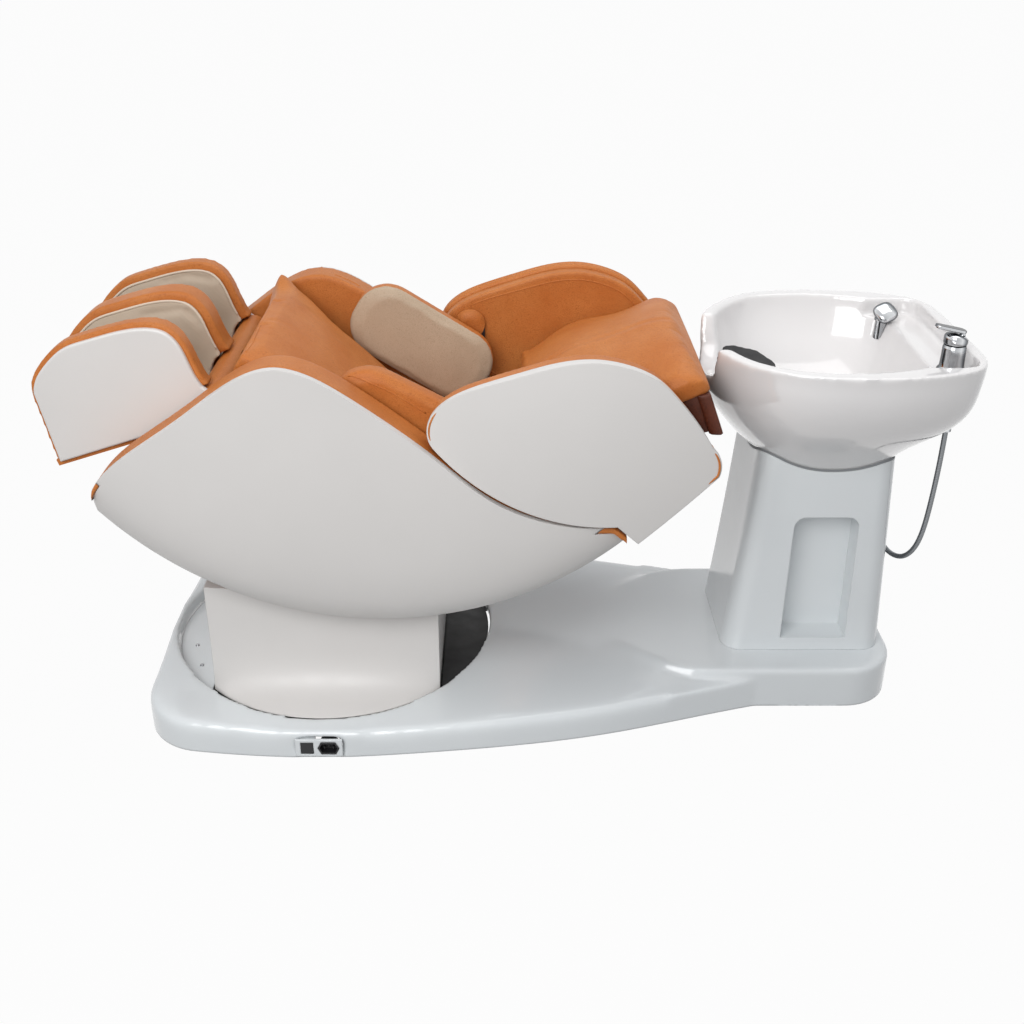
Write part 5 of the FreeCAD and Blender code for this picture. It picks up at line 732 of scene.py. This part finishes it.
SIDES = (("near", -1), ("far", 1))
LINING_ENDS_X = (-0.863, 0.238)
FAR_LINING_FOOT_Z = 0.60
FAR_LINING_RISE = 0.006
WING_EDGE_Y = 0.336
WING_ROLLS = {"near": ((0.344, 2.4),), "far": ((0.341, 9.5), (0.358, 9.0))}
wing_rims = {}
for side, sign in SIDES:
    lining = rounded(f"side_lining_{side}", f"side_lining_cover_{side}", 5.0, 5)
    spots = points_of(lining)
    spots[:, 0] = np.clip(spots[:, 0], *LINING_ENDS_X)
    if side == "far":
        spots[:, 2] += FAR_LINING_RISE * np.clip((spots[:, 2] - FAR_LINING_FOOT_Z) / 0.1, 0, 1)
    set_points(lining, spots)
    dressed(lining, "seat", "orange_leather", ORANGE)
    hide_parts(f"side_lining_{side}")
    wing = dressed(rounded(f"wing_lining_{side}", f"wing_cover_{side}", 5.0, 5), "back",
                   "orange_leather", ORANGE)
    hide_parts(f"wing_lining_{side}")
    rim = max(sharp_runs(f"wing_{side}", 40, lambda p: abs(abs(p.y) - WING_EDGE_Y) < MM), key=len)
    wing_rims[side] = rim
    loop = rim if rim[0] == rim[-1] else rim + rim[:1]
    rolls = [tube(f"roll_{i}", [Vector((p.x, y * sign, p.z)) for p in loop], thick * MM, 16)
             for i, (y, thick) in enumerate(WING_ROLLS[side])]
    dressed(joined(rolls, f"wing_edge_roll_{side}"), "back", "orange_leather", ORANGE)


# Leather sleeves over the frame's ears at the pivots

EAR_FOOT_Z = 0.64
EAR_Y = 0.2
sleeves = copy_of("seat_frame", "pivot_sleeves")
ears = bmesh.new()
ears.from_mesh(sleeves.data)
others = [v for v in ears.verts if v.co.z < EAR_FOOT_Z or abs(v.co.y) < EAR_Y]
bmesh.ops.delete(ears, geom=others, context="VERTS")
ears.to_mesh(sleeves.data)
ears.free()
shape_by(sleeves, "DISPLACE", strength=1.2 * MM, mid_level=0.0)
dressed(sleeves, "seat", "orange_leather", ORANGE)


# Leg rest: padded walls, lined troughs with a pale cord round each lining

leg_walls = dressed(rounded("leg_walls", "leg_wall_covers", 5.0, 5), "leg", "orange_leather", ORANGE)
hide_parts("leg_walls")
TROUGH_FOLDS = (
    (((-794, -45, 888), (-714, -45, 900), (-690, -45, 885)), 4, 9),
    (((-700, -45, 897), (-680, -45, 868)), 4, 8),
    (((-815, 194, 892), (-759, 194, 908), (-700, 194, 895)), 4, 9),
    (((-759, 194, 908), (-690, 194, 901)), 3, 8),
)
troughs = rounded("trough_linings", "trough_covers", 4.5, 4)
creased(troughs, TROUGH_FOLDS)
dressed(troughs, "leg", "beige_fabric", FABRIC)
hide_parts("trough_linings")
TROUGH_EDGES_Y = (0.045, 0.194)
piped("trough_cords", "trough_linings", 2.6, 35,
      lambda p: min(abs(abs(p.y) - y) for y in TROUGH_EDGES_Y) < MM, "leg", "beige_fabric", PIPING)


# The head flaps, and the dark cheeks behind them

FLAP_THICKENING = 0.018
CHEEK_OUTLINE = ((346, 800), (396, 790), (421, 712), (392, 704), (346, 742))
CHEEK_THICKNESS = 4
flaps = rounded("head_flaps", "head_flap_covers", 3.5, 3)
spots = points_of(flaps)
spots[:, 0] -= FLAP_THICKENING * np.clip(-normals_of(flaps)[:, 0], 0, 1)
set_points(flaps, spots)
dressed(flaps, "back", "brown_leather", BROWN)
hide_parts("head_flaps")
for end, from_y in (("near", -264), ("far", 260)):
    mesh = bmesh.new()
    sides = [[mesh.verts.new((x * MM, y * MM, z * MM)) for x, z in CHEEK_OUTLINE]
             for y in (from_y, from_y + CHEEK_THICKNESS)]
    mesh.faces.new(sides[0])
    mesh.faces.new(reversed(sides[1]))
    for k in range(len(CHEEK_OUTLINE)):
        mesh.faces.new((sides[0][k - 1], sides[1][k - 1], sides[1][k], sides[0][k]))
    bmesh.ops.recalc_face_normals(mesh, faces=mesh.faces)
    cheek = piece_from(mesh, f"flap_cheek_{end}")
    shape_by(cheek, "BEVEL", width=1.2 * MM, segments=2)
    dressed(cheek, "back", "brown_leather", BROWN)


# Sewn cords on the seat, the near armrest, the far side lining and the wings

SEAMS = (
    ("seat_seam_left", "seat_cover",
     ((-538, -91, 881), (-537, -150, 878), (-537, -194, 871), (-542, -232, 870))),
    ("seat_seam_right", "seat_cover", ((-448, 188, 806), (-394, 164, 760), (-358, 183, 724))),
    ("lining_seam", "side_lining_cover_far",
     ((-514, 328, 870), (-449, 300, 878), (-401, 300, 864), (-370, 295, 848))),
    ("arm_seam", "arm_pad_cover_near",
     ((-339, -251, 830), (-279, -251, 808), (-227, -251, 780), (-179, -251, 746))),
)
for name, cover, stitches in SEAMS:
    line = smooth_line([Vector(spot) * MM for spot in stitches], 12)
    seam(name, bpy.data.objects[cover], line, 1.5, "seat", ORANGE)
WING_MIDDLE = Vector((0.12, 0, 0.70))
WING_FACE_Y = 0.294
SEAM_INSET = 0.018
SEAM_FROM_X = -0.10
SEAM_FROM_Z = 0.62
for side, sign in SIDES:
    line = []
    for spot in wing_rims[side]:
        inwards = WING_MIDDLE - spot
        inwards.y = 0
        line.append(spot + inwards.normalized() * SEAM_INSET)
        line[-1].y = WING_FACE_Y * sign
    line = [p for p in line if p.z > SEAM_FROM_Z and p.x > SEAM_FROM_X]
    seam(f"wing_seam_{side}", bpy.data.objects[f"wing_cover_{side}"], line, 1.6, "back", ORANGE)


# Floor, light and background

def seen_rays(tree):
    """1 for rays that end in the picture directly, by a mirror or through glass, and 0 for other light."""
    view = add(tree, "ShaderNodeLightPath").outputs
    seen = add(tree, "ShaderNodeMath", {0: view["Is Camera Ray"], 1: view["Is Glossy Ray"]},
               operation="MAXIMUM")
    seen = add(tree, "ShaderNodeMath", {0: seen.outputs[0], 1: view["Is Transmission Ray"]},
               operation="MAXIMUM")
    return seen.outputs[0]


FLOOR_GLOW = 0.965
ROOM_LIGHT = 0.48
bpy.ops.mesh.primitive_plane_add(size=60)
floor = bpy.context.object
floor.name = "floor"
paper, tree, where = new_material("white_paper_floor")
share = add(tree, "ShaderNodeMath", {0: seen_rays(tree), 1: FLOOR_GLOW}, operation="MULTIPLY")
fibre = add(tree, "ShaderNodeTexNoise", {"Vector": where, "Scale": per_mm(30)})
tint = add(tree, "ShaderNodeMix", {"Factor": fibre.outputs[0], 6: linear("#8C8C8C"), 7: linear("#949494")},
           data_type="RGBA")
matt = add(tree, "ShaderNodeBsdfDiffuse", {"Color": tint.outputs[2]})
glow = add(tree, "ShaderNodeEmission", {"Color": linear("#FFFFFF"), "Strength": 1.0})
both = add(tree, "ShaderNodeMixShader", {0: share.outputs[0], 1: matt.outputs[0], 2: glow.outputs[0]})
floor.data.materials.append(finish_material(paper, both))

world = bpy.data.worlds.new("white_studio")
scene.world = world
world.use_nodes = True
tree = world.node_tree
tree.nodes.clear()
room = add(tree, "ShaderNodeBackground", {"Color": linear("#F4F6FA"), "Strength": ROOM_LIGHT})
white = add(tree, "ShaderNodeBackground", {"Color": linear("#FFFFFF"), "Strength": 1.0})
both = add(tree, "ShaderNodeMixShader", {0: seen_rays(tree), 1: room.outputs[0], 2: white.outputs[0]})
add(tree, "ShaderNodeOutputWorld", {"Surface": both.outputs[0]})


def lamp(name, at, aim, size, power):
    """A soft square lamp that points at a spot."""
    light = bpy.data.lights.new(name, "AREA")
    light.size = size
    light.energy = power
    holder = bpy.data.objects.new(name, light)
    holder.location = at
    holder.rotation_euler = (Vector(aim) - Vector(at)).to_track_quat("-Z", "Y").to_euler()
    scene.collection.objects.link(holder)


LAMP_AIM = (0, 0, 0.5)
lamp("key_lamp", (-1.0, -2.9, 2.5), LAMP_AIM, 2.2, 79)
lamp("top_lamp", (0.8, 0.4, 3.6), LAMP_AIM, 2.5, 36)

bpy.context.view_layer.update()
